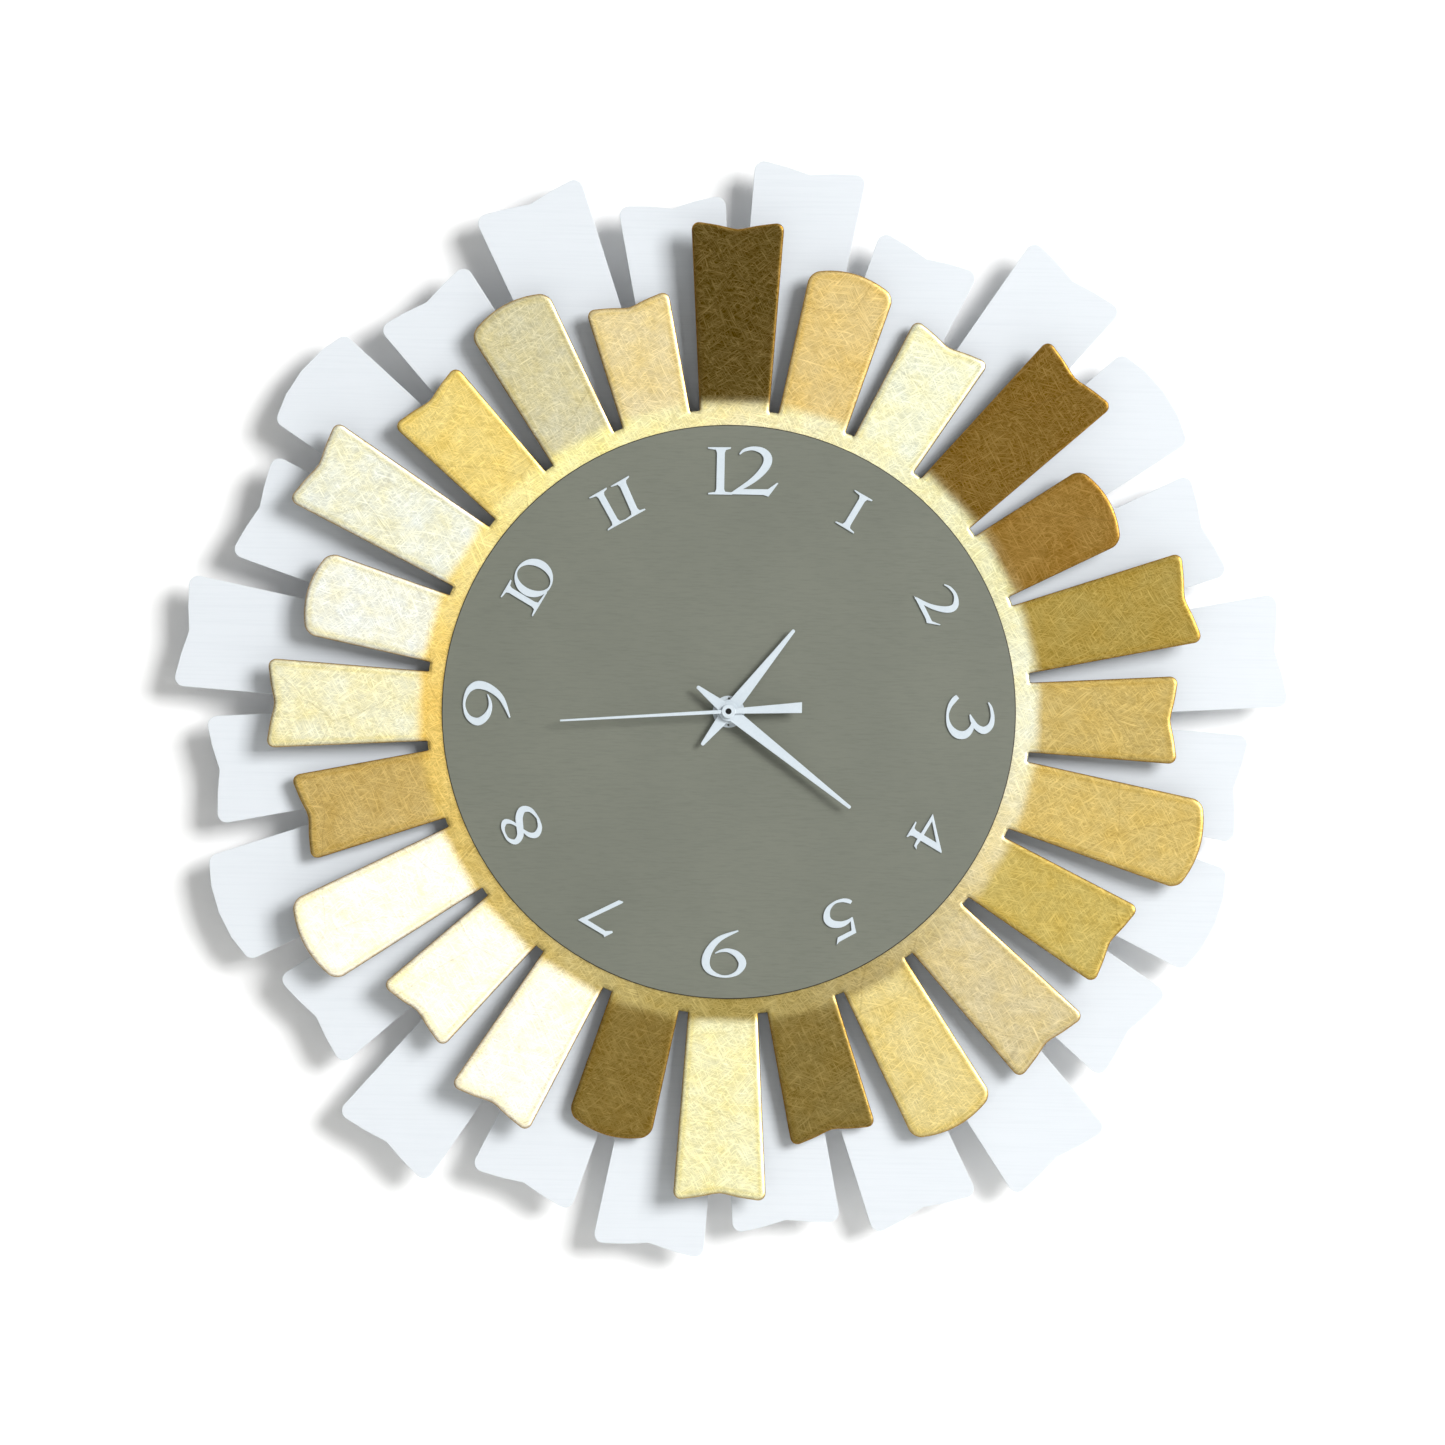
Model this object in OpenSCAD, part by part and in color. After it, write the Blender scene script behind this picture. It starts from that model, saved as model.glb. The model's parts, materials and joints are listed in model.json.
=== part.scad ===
// Sunburst wall clock: a taupe dial with applied numerals on a gilded burst of 24
// bent rays, a white burst of 24 rays behind it, a quartz movement clamped through
// the middle and a folded hanger bracket on the back.
// Frame: +X to the right, +Z up, the front faces -Y and the wall is the plane y = 0.
// The origin is the centre of the hanging keyhole where it meets the wall.

/* [Dial] */
// Diameter of the round dial plate
dial_d = 307; // [260:1:370]
// Thickness of the dial plate
dial_t = 2; // [1.5:0.5:4]
// Distance of the numerals' feet from the dial's edge
numeral_inset = 37.5; // [30:0.5:45]
// Thickness of the applied numerals
numeral_t = 1.2; // [0.8:0.1:2]

/* [Gold burst] */
// Width of the flat ring that shows around the dial
ring_w = 8.5; // [5:0.5:15]
// Thickness of the gold plate
gold_t = 2; // [1.5:0.5:3]
// Length of the longest gold ray beyond the ring
gold_ray_len = 101; // [80:1:122]
// Width of a gold ray where it leaves the ring
gold_root_w = 37.5; // [30:0.5:39]
// Added width of a gold ray for each millimetre of its length
gold_flare = 0.124; // [0.06:0.002:0.16]
// Depth of the notch in a ray's end
notch_depth = 5; // [3:0.5:7]
// Corner radius at a ray's end
tip_corner_r = 5; // [3:0.5:7]
// Rise of a rounded ray's arched end
arch_rise = 6; // [3:0.5:8]

/* [White burst] */
// Thickness of the white plate
white_t = 1.5; // [1:0.5:3]
// Length of the longest white ray beyond the gold ring
white_ray_len = 139; // [120:1:167]
// Radius added to the gold ring's where the white slots end
white_slot_inset = 23; // [15:1:35]
// Width of a white ray at the foot of its slots
white_root_w = 46; // [38:0.5:47]
// Added width of a white ray for each millimetre of its length
white_flare = 0.13; // [0.08:0.01:0.16]

/* [Depths] */
// Gap between the wall and the white plate
wall_gap = 22; // [21:1:30]
// Gap between the white plate and the gold plate
plate_gap = 11.5; // [9:0.5:16]
// Height of the hanging keyhole above the arbor
arbor_drop = 95; // [80:1:114]

/* [Hands] */
// Length of the hour hand from the arbor
hour_len = 56; // [45:1:70]
// Length of the minute hand from the arbor
minute_len = 83; // [70:1:98]
// Length of the second hand from the arbor
second_len = 90; // [75:1:100]
// Tail of the hour hand behind the arbor
hour_tail = 23; // [15:1:28]
// Tail of the minute hand behind the arbor
minute_tail = 21.5; // [15:0.5:28]
// Tail of the second hand behind the arbor
second_tail = 39; // [30:1:47]
// Thickness of the hour and minute hands
hand_t = 0.6; // [0.4:0.1:0.6]
// Clock angle that the hour hand points to
hour_angle = 37.7; // [0:0.1:360]
// Clock angle that the minute hand points to
minute_angle = 127.3; // [0:0.1:360]
// Clock angle that the second hand points to
second_angle = 265.8; // [0:0.1:360]

/* [Movement] */
// Width of the movement's case
case_w = 56; // [54:1:58]
// Depth of the movement's case
case_depth = 16; // [16:1:18]
// Wall of the movement's case
case_wall = 1.2; // [1:0.1:1.4]
// Outer radius of the threaded bush
bush_r = 4; // [3.5:0.1:4.5]
// Diameter of the round nut on the bush
nut_d = 17; // [14:0.5:20]
// Outer radius of the hour pipe
hour_pipe_r = 2.6; // [2.5:0.05:2.8]
// Outer radius of the minute arbor
minute_arbor_r = 1.6; // [1.4:0.05:1.7]
// Radius of the second arbor and of the train's arbors
arbor_r = 0.5; // [0.4:0.05:0.6]
// Diameter of the battery
battery_d = 14.2; // [13.5:0.1:14.5]
// Length of the battery with its nub
battery_len = 50.5; // [49:0.1:50.5]

/* [Mounting] */
// Radius of the round entry of the hanging keyhole
keyhole_r = 5; // [4:0.5:6]
// Width of the keyhole's slot
keyhole_slot_w = 4.5; // [3.5:0.1:6]
// Width of the hanger bracket without its flanges
bracket_w = 46; // [40:1:60]
// Height of the hanger bracket
bracket_h = 36; // [34:1:50]
// Sheet thickness of the hanger bracket
bracket_t = 1.5; // [1:0.25:2.5]
// Radius of the circle of the four welded studs
stud_circle_r = 120; // [110:1:125]
// Diameter of the studs, rivets and screws
stud_d = 4; // [3:0.5:5]
// Diameter of the wall standoffs
standoff_d = 12; // [10:0.5:16]
// Sideways distance of each standoff from the middle
standoff_x = 60; // [45:1:70]
// Distance of the standoffs below the arbor
standoff_drop = 115; // [100:1:125]

/* [Hidden] */
$fn = 64;

// Clearances
run_gap = 0.05;        // radial, a shaft turning in its bearing
hole_gap = 0.2;        // radial, a fastener in its hole
snug_gap = 0.02;       // radial, a pressed piece
seat_gap = 0.3;        // between neighbours that move past each other

// Radii that follow the dial
ray_count = 24;
ring_r = dial_d / 2 + ring_w;
white_slot_r = ring_r + white_slot_inset;
numeral_foot_r = dial_d / 2 - numeral_inset;

// Distances from the wall, front to back
white_back = wall_gap;
white_front = white_back + white_t;
gold_back = white_front + plate_gap;
gold_front = gold_back + gold_t;
dial_front = gold_front + dial_t;

// Each ray's share of its burst's longest ray, clockwise from twelve o'clock
gold_share = [
    1.00, 0.81, 0.70, 0.99, 0.70, 0.93, 0.78, 0.99, 0.80, 0.87, 0.90, 0.72,
    0.99, 0.73, 0.86, 0.73, 0.96, 0.74, 0.85, 0.72, 0.98, 0.73, 0.86, 0.65
];
white_share = [
    0.97, 0.78, 1.00, 0.92, 0.83, 0.99, 0.84, 0.88, 0.84, 1.00, 0.92, 0.84,
    0.94, 0.85, 0.99, 0.85, 0.95, 0.85, 0.98, 0.85, 0.95, 0.84, 0.98, 0.83
];
// Bend of each gold ray in degrees, positive towards the viewer
gold_bend = [
    5, 2, -2.5, 4, 4.5, 3.5, 1.5, 1.5, 3, 0, -1, -3,
    3.5, -3, 4.5, 5, 4.5, -2.5, 3, 3, 3.5, 1.5, 1, 1
];
function gold_is_round(k) = k % 3 == 1;
white_round = [3, 7, 16, 20];
function white_is_round(k) = len(search(k, white_round)) > 0;

// Movement, depths measured from the wall
washer_t = 0.8;
case_front_d = gold_back - washer_t;
case_back_d = case_front_d - case_depth;
inner_front = case_front_d - case_wall;
inner_back = case_back_d + case_wall;
case_top = case_w / 2;
case_bottom = case_w / 2 + 1;
case_inner = case_w / 2 - case_wall;
bay_y = -case_bottom + case_wall + 0.4 + battery_d / 2;
bay_top = bay_y + battery_d / 2 + 0.4;
bay_wall_t = 0.8;
contact_slot = 0.6;
bush_end = dial_front + 3.6;
nut_t = 1.6;
window_gap = 1.5;

// Layers of the train, the depth of each wheel's rear face
hour_layer = inner_front - 2;
motion_layer = inner_front - 3.6;
centre_layer = inner_front - 5.4;
third_layer = inner_front - 7.8;
second_layer = inner_front - 9.8;
intermediate_layer = inner_front - 11.6;
wheel_t = 0.8;
pinion_over = 0.3;
boss_r = 1.5;
boss_front = inner_front - 1.4;
boss_back = inner_back + 1.2;
pivot_r = arbor_r - 0.1;

// Teeth and modules, each pair after the wheel that it drives or is driven by
rotor_pinion_n = 10;
intermediate_n = 60;
intermediate_pinion_n = 10;
second_n = 50;
second_pinion_n = 8;
third_n = 60;
third_pinion_n = 8;
centre_n = 64;
cannon_n = 12;
motion_n = 36;
motion_pinion_n = 10;
hour_n = 40;
knob_n = 14;
rotor_mod = 0.28;
second_mod = 0.40;
third_mod = 0.36;
cannon_mod = 0.40;
third_dist = third_mod * (second_pinion_n + third_n) / 2;
centre_mod = 2 * third_dist / (third_pinion_n + centre_n);
motion_dist = cannon_mod * (cannon_n + motion_n) / 2;
hour_mod = 2 * motion_dist / (motion_pinion_n + hour_n);
intermediate_dist = second_mod * (second_n + intermediate_pinion_n) / 2;
rotor_dist = rotor_mod * (intermediate_n + rotor_pinion_n) / 2;
knob_dist = cannon_mod * (motion_n + knob_n) / 2;
function polar(r, a) = [r * cos(a), r * sin(a)];
third_dir = 150;
intermediate_dir = 75;
rotor_dir = 10;
motion_dir = 0;
knob_dir = 20;
third_at = polar(third_dist, third_dir);
intermediate_at = polar(intermediate_dist, intermediate_dir);
rotor_at = intermediate_at + polar(rotor_dist, rotor_dir);
motion_at = polar(motion_dist, motion_dir);
knob_at = motion_at + polar(knob_dist, knob_dir);

// Turn of a gear that puts its gap on the tooth of the gear that it meshes with
function mesh_turn(dir, turn, n, other_n) = dir + 180 + 180 / n - (turn - dir) * other_n / n;
second_turn = 0;
second_pinion_turn = 0;
third_turn = mesh_turn(third_dir, second_pinion_turn, third_n, second_pinion_n);
third_pinion_turn = 0;
centre_turn = mesh_turn(third_dir + 180, third_pinion_turn, centre_n, third_pinion_n);
intermediate_pinion_turn = mesh_turn(intermediate_dir, second_turn, intermediate_pinion_n, second_n);
intermediate_turn = 0;
rotor_turn = mesh_turn(rotor_dir, intermediate_turn, rotor_pinion_n, intermediate_n);
cannon_turn = 0;
motion_turn = mesh_turn(motion_dir, cannon_turn, motion_n, cannon_n);
motion_pinion_turn = 0;
hour_turn = mesh_turn(motion_dir + 180, motion_pinion_turn, hour_n, motion_pinion_n);
knob_turn = mesh_turn(knob_dir, motion_turn, knob_n, motion_n);

// Hands, depths from the wall
hour_hand_d = dial_front + 4.9;
minute_hand_d = hour_hand_d + 2.3;
second_hand_d = minute_hand_d + 2.2;
hour_pipe_end = hour_hand_d + 0.9;
minute_arbor_end = minute_hand_d + 1;
second_arbor_end = second_hand_d + 0.6;

// Fasteners
stud_hole_r = stud_d / 2 + hole_gap;
nut_h = 3.2;
washer_h = 0.8;
foot_t = 3;
foot_lap = 5;
flange_w = 12;
rivet_head_t = 1.2;
rivet_y = bracket_h / 2 - 8;
standoff_bore = 10;

// Colours
taupe = "#807d6c";
ice = "#dfe6ef";
gold = "#d8b25c";
zinc = "#b9bdc0";
brass = "#c9a24b";

// ---- helpers ----

// Clock frame: local x right, y up from the arbor, z out from the wall
module clock_frame() translate([0, 0, -arbor_drop]) rotate([90, 0, 0]) children();
// A flat piece between two distances from the wall
module slab(from, to) translate([0, 0, from]) linear_extrude(to - from) children();
// A round bar or, with a bore, a tube
module tube(from, to, r, bore = 0) slab(from, to) difference() {
    circle(r);
    if (bore > 0) circle(bore);
}
// Turns a piece to a clock angle, clockwise from twelve
module at_clock(angle) rotate(-angle) children();

// Outline with every corner rounded: points as [x, y, radius]
function unit(v) = v / norm(v);
function corner_arc(a, b, c, r, steps) =
    let (u = unit(a - b), w = unit(c - b), half = acos(u * w) / 2,
         reach = min(r / tan(half), 0.48 * norm(a - b), 0.48 * norm(c - b)),
         rr = reach * tan(half), mid = b + unit(u + w) * rr / sin(half),
         p = b + u * reach - mid, q = b + w * reach - mid,
         side = sign(p[0] * q[1] - p[1] * q[0]), sweep = 180 - 2 * half)
    [for (i = [0:steps]) let (t = side * sweep * i / steps)
        mid + [p[0] * cos(t) - p[1] * sin(t), p[0] * sin(t) + p[1] * cos(t)]];
function xy(p) = [p[0], p[1]];
function rounded(pts, steps = 5) = let (n = len(pts)) [
    for (i = [0:n - 1]) each pts[i][2] > 0
        ? corner_arc(xy(pts[(i + n - 1) % n]), xy(pts[i]), xy(pts[(i + 1) % n]), pts[i][2], steps)
        : [xy(pts[i])]
];

// One ray, pointing along +y: notched like a fishtail, or arched
module ray_outline(foot_r, slot_r, tip_r, root_w, flare, arched) {
    half_root = root_w / 2;
    half_tip = half_root + (tip_r - slot_r) * flare / 2;
    shoulder_r = tip_r - (arched ? arch_rise : 0.6);
    arch_x = half_tip * 0.5;
    tip = arched
        ? [[half_tip, shoulder_r, tip_corner_r], [arch_x, tip_r - arch_rise * 0.24, 0],
           [0, tip_r, 0], [-arch_x, tip_r - arch_rise * 0.24, 0],
           [-half_tip, shoulder_r, tip_corner_r]]
        : [[half_tip, shoulder_r, tip_corner_r], [half_tip * 0.42, tip_r - notch_depth * 0.52, 12],
           [0, tip_r - notch_depth, 1.5], [-half_tip * 0.42, tip_r - notch_depth * 0.52, 12],
           [-half_tip, shoulder_r, tip_corner_r]];
    polygon(rounded(concat([[-half_root, slot_r, 0], [-half_root, foot_r, 0],
        [half_root, foot_r, 0], [half_root, slot_r, 0]], tip)));
}

// Toothed wheel outline with straight-flanked teeth and room in the mesh
function tooth_angle(share, n) = share * 360 / n / 2;
module gear_outline(n, mod) polygon([
    for (k = [0:n - 1]) let (
        root_r = mod * (n / 2 - 1.25), pitch_r = mod * n / 2, tip_r = mod * (n / 2 + 0.8),
        a = k * 360 / n)
    each [
        polar(root_r, a - tooth_angle(0.50, n)), polar(pitch_r, a - tooth_angle(0.40, n)),
        polar(tip_r, a - tooth_angle(0.16, n)), polar(tip_r, a + tooth_angle(0.16, n)),
        polar(pitch_r, a + tooth_angle(0.40, n)), polar(root_r, a + tooth_angle(0.50, n))
    ]
]);
// A wheel or pinion from its rear face, turned to its phase, with a bore
module gear(n, mod, from, to, turn, bore) slab(from, to) difference() {
    rotate(turn) gear_outline(n, mod);
    circle(bore);
}
// A train arbor with a thinner pivot in each bearing
module train_arbor() {
    tube(boss_back + 0.1, boss_front - 0.1, arbor_r);
    tube(inner_back + 0.2, boss_back + 0.1, pivot_r);
    tube(boss_front - 0.1, inner_front - 0.6, pivot_r);
}
// ---- plates ----

module stud_places() for (a = [45:90:315]) rotate(a) translate([stud_circle_r, 0]) children();
module rivet_places() for (x = [-1, 1], y = [-1, 1])
    translate([x * (bracket_w + flange_w) / 2, arbor_drop + y * rivet_y]) children();
module standoff_places() for (x = [-1, 1]) translate([x * standoff_x, -standoff_drop]) children();

module rear_sunburst() color(ice) clock_frame() difference() {
    slab(white_back, white_front) difference() {
        union() {
            circle(white_slot_r, $fn = 96);
            for (k = [0:ray_count - 1]) at_clock((k + 0.5) * 360 / ray_count)
                ray_outline(white_slot_r - 20, white_slot_r, ring_r + white_ray_len * white_share[k],
                    white_root_w, white_flare, white_is_round(k));
        }
        movement_window();
    }
    translate([0, 0, white_back - 1]) linear_extrude(white_t + 2) {
        stud_places() circle(stud_hole_r);
        rivet_places() circle(stud_d / 2 + run_gap);
        standoff_places() circle(stud_hole_r);
    }
}
module movement_window() {
    half = case_w / 2 + window_gap;
    translate([-half, -case_bottom - window_gap]) square([2 * half, case_bottom + case_top + 2 * window_gap]);
}

// Side profile of a ray, radius against depth: flat to the ring's edge, then bent
module bent_profile(tip_r, bend) {
    run = tip_r + 1 - ring_r;
    rise = run * tan(bend);
    polygon([[ring_r - 8, 0], [ring_r, 0], [tip_r + 1, rise], [tip_r + 1, rise + gold_t],
        [ring_r, gold_t], [ring_r - 8, gold_t]]);
}
module gold_ray(k) {
    tip_r = ring_r + gold_ray_len * gold_share[k];
    wide = gold_root_w + gold_flare * gold_ray_len + 10;
    at_clock(k * 360 / ray_count) intersection() {
        translate([0, 0, gold_back - 30]) linear_extrude(60)
            ray_outline(ring_r - 7, ring_r, tip_r, gold_root_w, gold_flare, gold_is_round(k));
        translate([-wide / 2, 0, gold_back]) rotate([90, 0, 90]) linear_extrude(wide)
            bent_profile(tip_r, gold_bend[k]);
    }
}
module front_sunburst() color(gold) clock_frame() difference() {
    union() {
        slab(gold_back, gold_front) circle(ring_r, $fn = 96);
        for (k = [0:ray_count - 1]) gold_ray(k);
    }
    tube(gold_back - 1, gold_front + 1, bush_r + hole_gap);
    translate([0, 0, gold_back - 1]) linear_extrude(gold_t + 2) stud_places() circle(stud_hole_r);
}
module dial_plate() color(taupe) clock_frame() tube(gold_front, dial_front, dial_d / 2, bush_r + hole_gap);

// ---- numerals ----

// Smooth brush stroke through [x, y, width] points, by a Catmull-Rom curve
function spline(a, b, c, d, t) =
    0.5 * (2 * b + (c - a) * t + (2 * a - 5 * b + 4 * c - d) * t * t + (3 * b - a - 3 * c + d) * t * t * t);
function stroke_points(p, steps) = let (n = len(p)) [
    for (i = [0:n - 2], s = [0:steps - 1])
        spline(p[max(i - 1, 0)], p[i], p[i + 1], p[min(i + 2, n - 1)], s / steps),
    p[n - 1]
];
function side_point(q, i, side) =
    let (n = len(q), d = unit(xy(q[min(i + 1, n - 1)]) - xy(q[max(i - 1, 0)])))
    xy(q[i]) + side * q[i][2] / 2 * [-d[1], d[0]];
module brush(p, steps = 5) {
    q = stroke_points(p, steps);
    n = len(q);
    polygon(concat([for (i = [0:n - 1]) side_point(q, i, 1)],
        [for (i = [n - 1:-1:0]) side_point(q, i, -1)]));
}
// Roman stem from its foot to its head, with flared serifs to the left and right
module stem(left, right, height, foot_left, foot_right, head_left, head_right, lean = 0) polygon([
    [left - foot_left, 0], [right + foot_right, 0], [right + foot_right - 0.2, 0.8],
    [right + 0.6, 1.4], [right, 3], [right + lean, height - 3], [right + lean + 0.6, height - 1.5],
    [right + lean + head_right - 0.2, height - 0.8], [right + lean + head_right, height],
    [left + lean - head_left, height - 0.2], [left + lean - head_left + 0.2, height - 0.9],
    [left + lean - 0.6, height - 1.5], [left + lean, height - 3], [left, 3], [left - 0.6, 1.4],
    [left - foot_left + 0.2, 0.8]
]);
module figure_one() stem(0.8, 4.3, 20.6, 4.5, 3.8, 4.5, 3.3);
module figure_two() {
    brush([[-3.8, 17.6, 0.6], [-1, 19.5, 1.3], [4, 20.2, 1.9], [8.6, 17.8, 3.2], [9.3, 14.2, 3.6],
        [6.6, 9.6, 3], [1.6, 4.8, 2.1], [-5.2, 0.7, 1.2]]);
    polygon([[-6.4, 0.6], [-4.6, 1.2], [-2.4, 3], [10.2, 2.5], [13.9, 5.6], [14.2, 5.2], [9.6, -0.5], [7.6, 0.2]]);
}
module figure_three() {
    brush([[-7.6, 22.6, 0.7], [-4.8, 24.1, 1.5], [0, 25, 2.1], [4.8, 24, 3.1], [7.4, 20.6, 3.9],
        [5.8, 16.8, 3.1], [2.2, 14.2, 2.2], [-1, 12.9, 0.7]]);
    brush([[1.6, 14.8, 1.2], [6.2, 13.9, 2.6], [9.8, 10.6, 4.1], [9.6, 6, 4.2], [5.6, 2.2, 2.7],
        [0, 0.9, 1.4], [-5, 2, 2.2], [-8.6, 4.3, 2.9], [-10.4, 6.2, 2.4]]);
}
module figure_four() {
    difference() {
        polygon([[-9.7, 5.5], [5.2, 20], [6.1, 20.4], [6.1, 7.4], [9.4, 7.1], [11.3, 8], [10.3, 5.7],
            [8, 5.4], [6.1, 5.4], [6.1, 2.6], [6.7, 1.1], [8, 0.5], [8.2, -0.3], [-1.4, -0.3],
            [-1.2, 0.5], [2, 1.1], [2.6, 2.6], [2.6, 5.4]]);
        polygon([[-5.8, 7.3], [2.6, 15], [2.6, 7.3]]);
    }
}
module figure_five() {
    polygon([[-2.6, 20.3], [7.7, 20.2], [9.7, 20.9], [7.3, 17.7], [-1, 18], [-3.3, 12.6], [-5, 12.1]]);
    brush([[-4.8, 12.1, 0.6], [-1.6, 12.9, 2], [2.6, 12.4, 3.3], [6.5, 9.7, 4], [7.4, 6, 3.8],
        [4.6, 2.2, 2.6], [0, 0.7, 1.4], [-4.4, 1.6, 1.9], [-7, 3.4, 2.3], [-8.1, 4.9, 1.8]]);
}
module figure_seven() {
    polygon([[-5.3, 21.5], [-4.4, 20.7], [11.5, 20.8], [10, 18.2], [-4.2, 18.3], [-7.2, 16.4], [-8, 17.1]]);
    polygon([[11.5, 20.8], [-1.8, 0.5], [-4.4, 0], [-4.1, 1.2], [7.4, 18.6]]);
}
module figure_eight() {
    brush([[2.4, 20.1, 1.2], [-2.4, 20.2, 1.5], [-5.8, 17.4, 2.9], [-4.3, 13.6, 3.4], [0, 11.4, 3.6],
        [4.8, 9.2, 3.9], [7.4, 5.7, 3.7], [5.2, 2.1, 2.4], [0, 0.8, 1.3], [-2.4, 1.1, 1.7]]);
    brush([[0.8, 20.4, 1], [4.2, 19.4, 2], [6.2, 16.8, 2.8], [3.6, 13.6, 1.6], [-1.6, 11.2, 1.3],
        [-6.2, 8.9, 2.5], [-7.8, 5.6, 3.2], [-5.2, 2.1, 2.3], [-1, 0.9, 1.3]]);
}
module figure_nine() brush([[6.9, 13.2, 0.6], [3.6, 11.8, 1.5], [-0.6, 11.6, 2.3], [-5.2, 13.8, 3.6],
    [-7.9, 18.2, 4.2], [-5.6, 23, 2.7], [-0.6, 25.3, 1.5], [4.6, 25.1, 1.7], [9.6, 22.6, 3.2],
    [11.8, 18, 4.4], [10, 11.6, 4], [4.6, 5.4, 2.9], [-5.4, 0.9, 0.9]]);
module figure_ten() {
    stem(-6.3, -3.2, 20.4, 4.2, 7.6, 4.2, 3.5);
    translate([7.4, 10.2]) difference() {
        circle(10.3);
        rotate(6) scale([1, 1.48]) circle(6.3);
    }
}
module figure_eleven() {
    stem(-5.8, -2.2, 20.6, 4, 4, 4.4, 3);
    stem(5.9, 9.8, 20.4, 5, 3.6, 4.3, 3.2, 1.3);
}
module figure_twelve() {
    stem(-8.9, -4.7, 25.4, 4.4, 4.4, 5, 3.3);
    brush([[3.2, 21.7, 0.7], [5.6, 23.9, 1.6], [10.4, 25, 2.1], [15.6, 23.6, 3.5], [18.4, 19.8, 4.6],
        [16.8, 14.6, 4.2], [10.6, 8, 3], [0, 1, 1.4]]);
    polygon([[-6, 0.3], [-6, 1.7], [-1, 1.3], [2.8, 3.1], [18.7, 3.3], [23.6, 6.9], [24.2, 6.6],
        [19, -0.7], [16.4, 0.2]]);
}
module figure(n) {
    if (n == 1) figure_one();
    if (n == 2) figure_two();
    if (n == 3) figure_three();
    if (n == 4) figure_four();
    if (n == 5) figure_five();
    if (n == 6) translate([-2, 0]) figure_nine();
    if (n == 7) figure_seven();
    if (n == 8) figure_eight();
    if (n == 9) figure_nine();
    if (n == 10) figure_ten();
    if (n == 11) figure_eleven();
    if (n == 12) figure_twelve();
}
module numeral(n) color(ice) clock_frame() at_clock(30 * n) translate([0, numeral_foot_r, 0])
    slab(dial_front, dial_front + numeral_t) figure(n);

// ---- hands ----

// Lance blade from tail to tip, widest at the arbor, with rounded ends
module lance(tip, tail, wide, end_w) polygon(rounded([
    [wide / 2, 0, 0], [end_w / 2, tip, end_w / 2], [-end_w / 2, tip, end_w / 2], [-wide / 2, 0, 0],
    [-end_w / 2, -tail, end_w / 2], [end_w / 2, -tail, end_w / 2]]));
module hand(at, tip, tail, wide, end_w, boss_d, bore, angle) {
    difference() {
        union() {
            slab(at, at + hand_t) at_clock(angle) {
                lance(tip, tail, wide, end_w);
                circle(boss_d / 2);
            }
            tube(at - 0.6, at + 0.1, boss_d / 2 - 0.6);
        }
        tube(at - 1, at + hand_t + 1, bore);
    }
}
module hour_hand() color(ice) clock_frame()
    hand(hour_hand_d, hour_len, hour_tail, 7.4, 1.8, 12.6, hour_pipe_r + snug_gap, hour_angle);
module minute_hand() color(ice) clock_frame()
    hand(minute_hand_d, minute_len, minute_tail, 7.2, 1.8, 10.4, minute_arbor_r + snug_gap, minute_angle);
module second_hand() color(ice) clock_frame() difference() {
    union() {
        slab(second_hand_d, second_hand_d + 0.5) at_clock(second_angle) {
            polygon([[-1.05, 0], [-0.5, second_len], [0.5, second_len], [1.05, 0]]);
            polygon([[-1.3, 0], [-3, -second_tail], [2.8, -second_tail - 0.4], [1.3, 0]]);
        }
        tube(second_hand_d, second_hand_d + 1.1, 3.65);
        tube(second_hand_d - 0.7, second_hand_d, 1.2);
    }
    tube(second_hand_d - 1, second_arbor_end + run_gap, arbor_r + snug_gap);
    tube(second_hand_d + 0.55, second_hand_d + 2, 1.25);
}

// ---- clamp ----

module dial_nut() color(ice) clock_frame() slab(dial_front, dial_front + nut_t) difference() {
    circle(nut_d / 2);
    circle(bush_r + snug_gap);
    for (a = [0:90:270]) rotate(a) translate([nut_d / 2 - 1.4, 0]) circle(0.55);
}
module rubber_washer() color("#2a2a2a") clock_frame()
    tube(case_front_d, gold_back, 12, bush_r + hole_gap);
module threaded_bush() color(brass) clock_frame() {
    tube(inner_front - 0.8, inner_front, 6, hour_pipe_r + run_gap);
    tube(inner_front, bush_end, bush_r, hour_pipe_r + run_gap);
}

// ---- movement case ----

module case_outline(inset) translate([-case_w / 2 + inset, -case_bottom + inset])
    square([case_w - 2 * inset, case_bottom + case_top - 2 * inset]);
module bay_outline() translate([-case_inner, -case_bottom + case_wall])
    square([2 * case_inner, bay_top + case_bottom - case_wall]);
post_places = [[8, 11], [24, 11]];
board_posts = [[-22, 22.8], [22, 22.8]];
module case_front() color("#26272a") clock_frame() difference() {
    union() {
        slab(inner_front, case_front_d) case_outline(0);
        slab(inner_back, inner_front) difference() {
            case_outline(0);
            case_outline(case_wall);
        }
        slab(inner_back, inner_front) translate([-case_inner + contact_slot, bay_top])
            square([2 * (case_inner - contact_slot), bay_wall_t]);
        for (at = [third_at, intermediate_at, rotor_at, knob_at]) translate(at)
            tube(boss_front, inner_front, boss_r);
        translate(motion_at) tube(motion_layer - 0.4, inner_front, 0.75);
        for (at = post_places) translate(at) tube(stator_d + 1, inner_front, 1.3);
        for (at = board_posts) translate(at) tube(inner_front - 0.6, inner_front, 1.5);
    }
    tube(inner_front - 1, case_front_d + 1, bush_r + snug_gap);
    for (at = [third_at, intermediate_at, rotor_at])
        translate(at) tube(boss_front - 1, inner_front - 0.4, pivot_r + run_gap);
    translate(knob_at) tube(boss_front - 1, inner_front - 0.4, 0.8 + run_gap);
}
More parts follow.
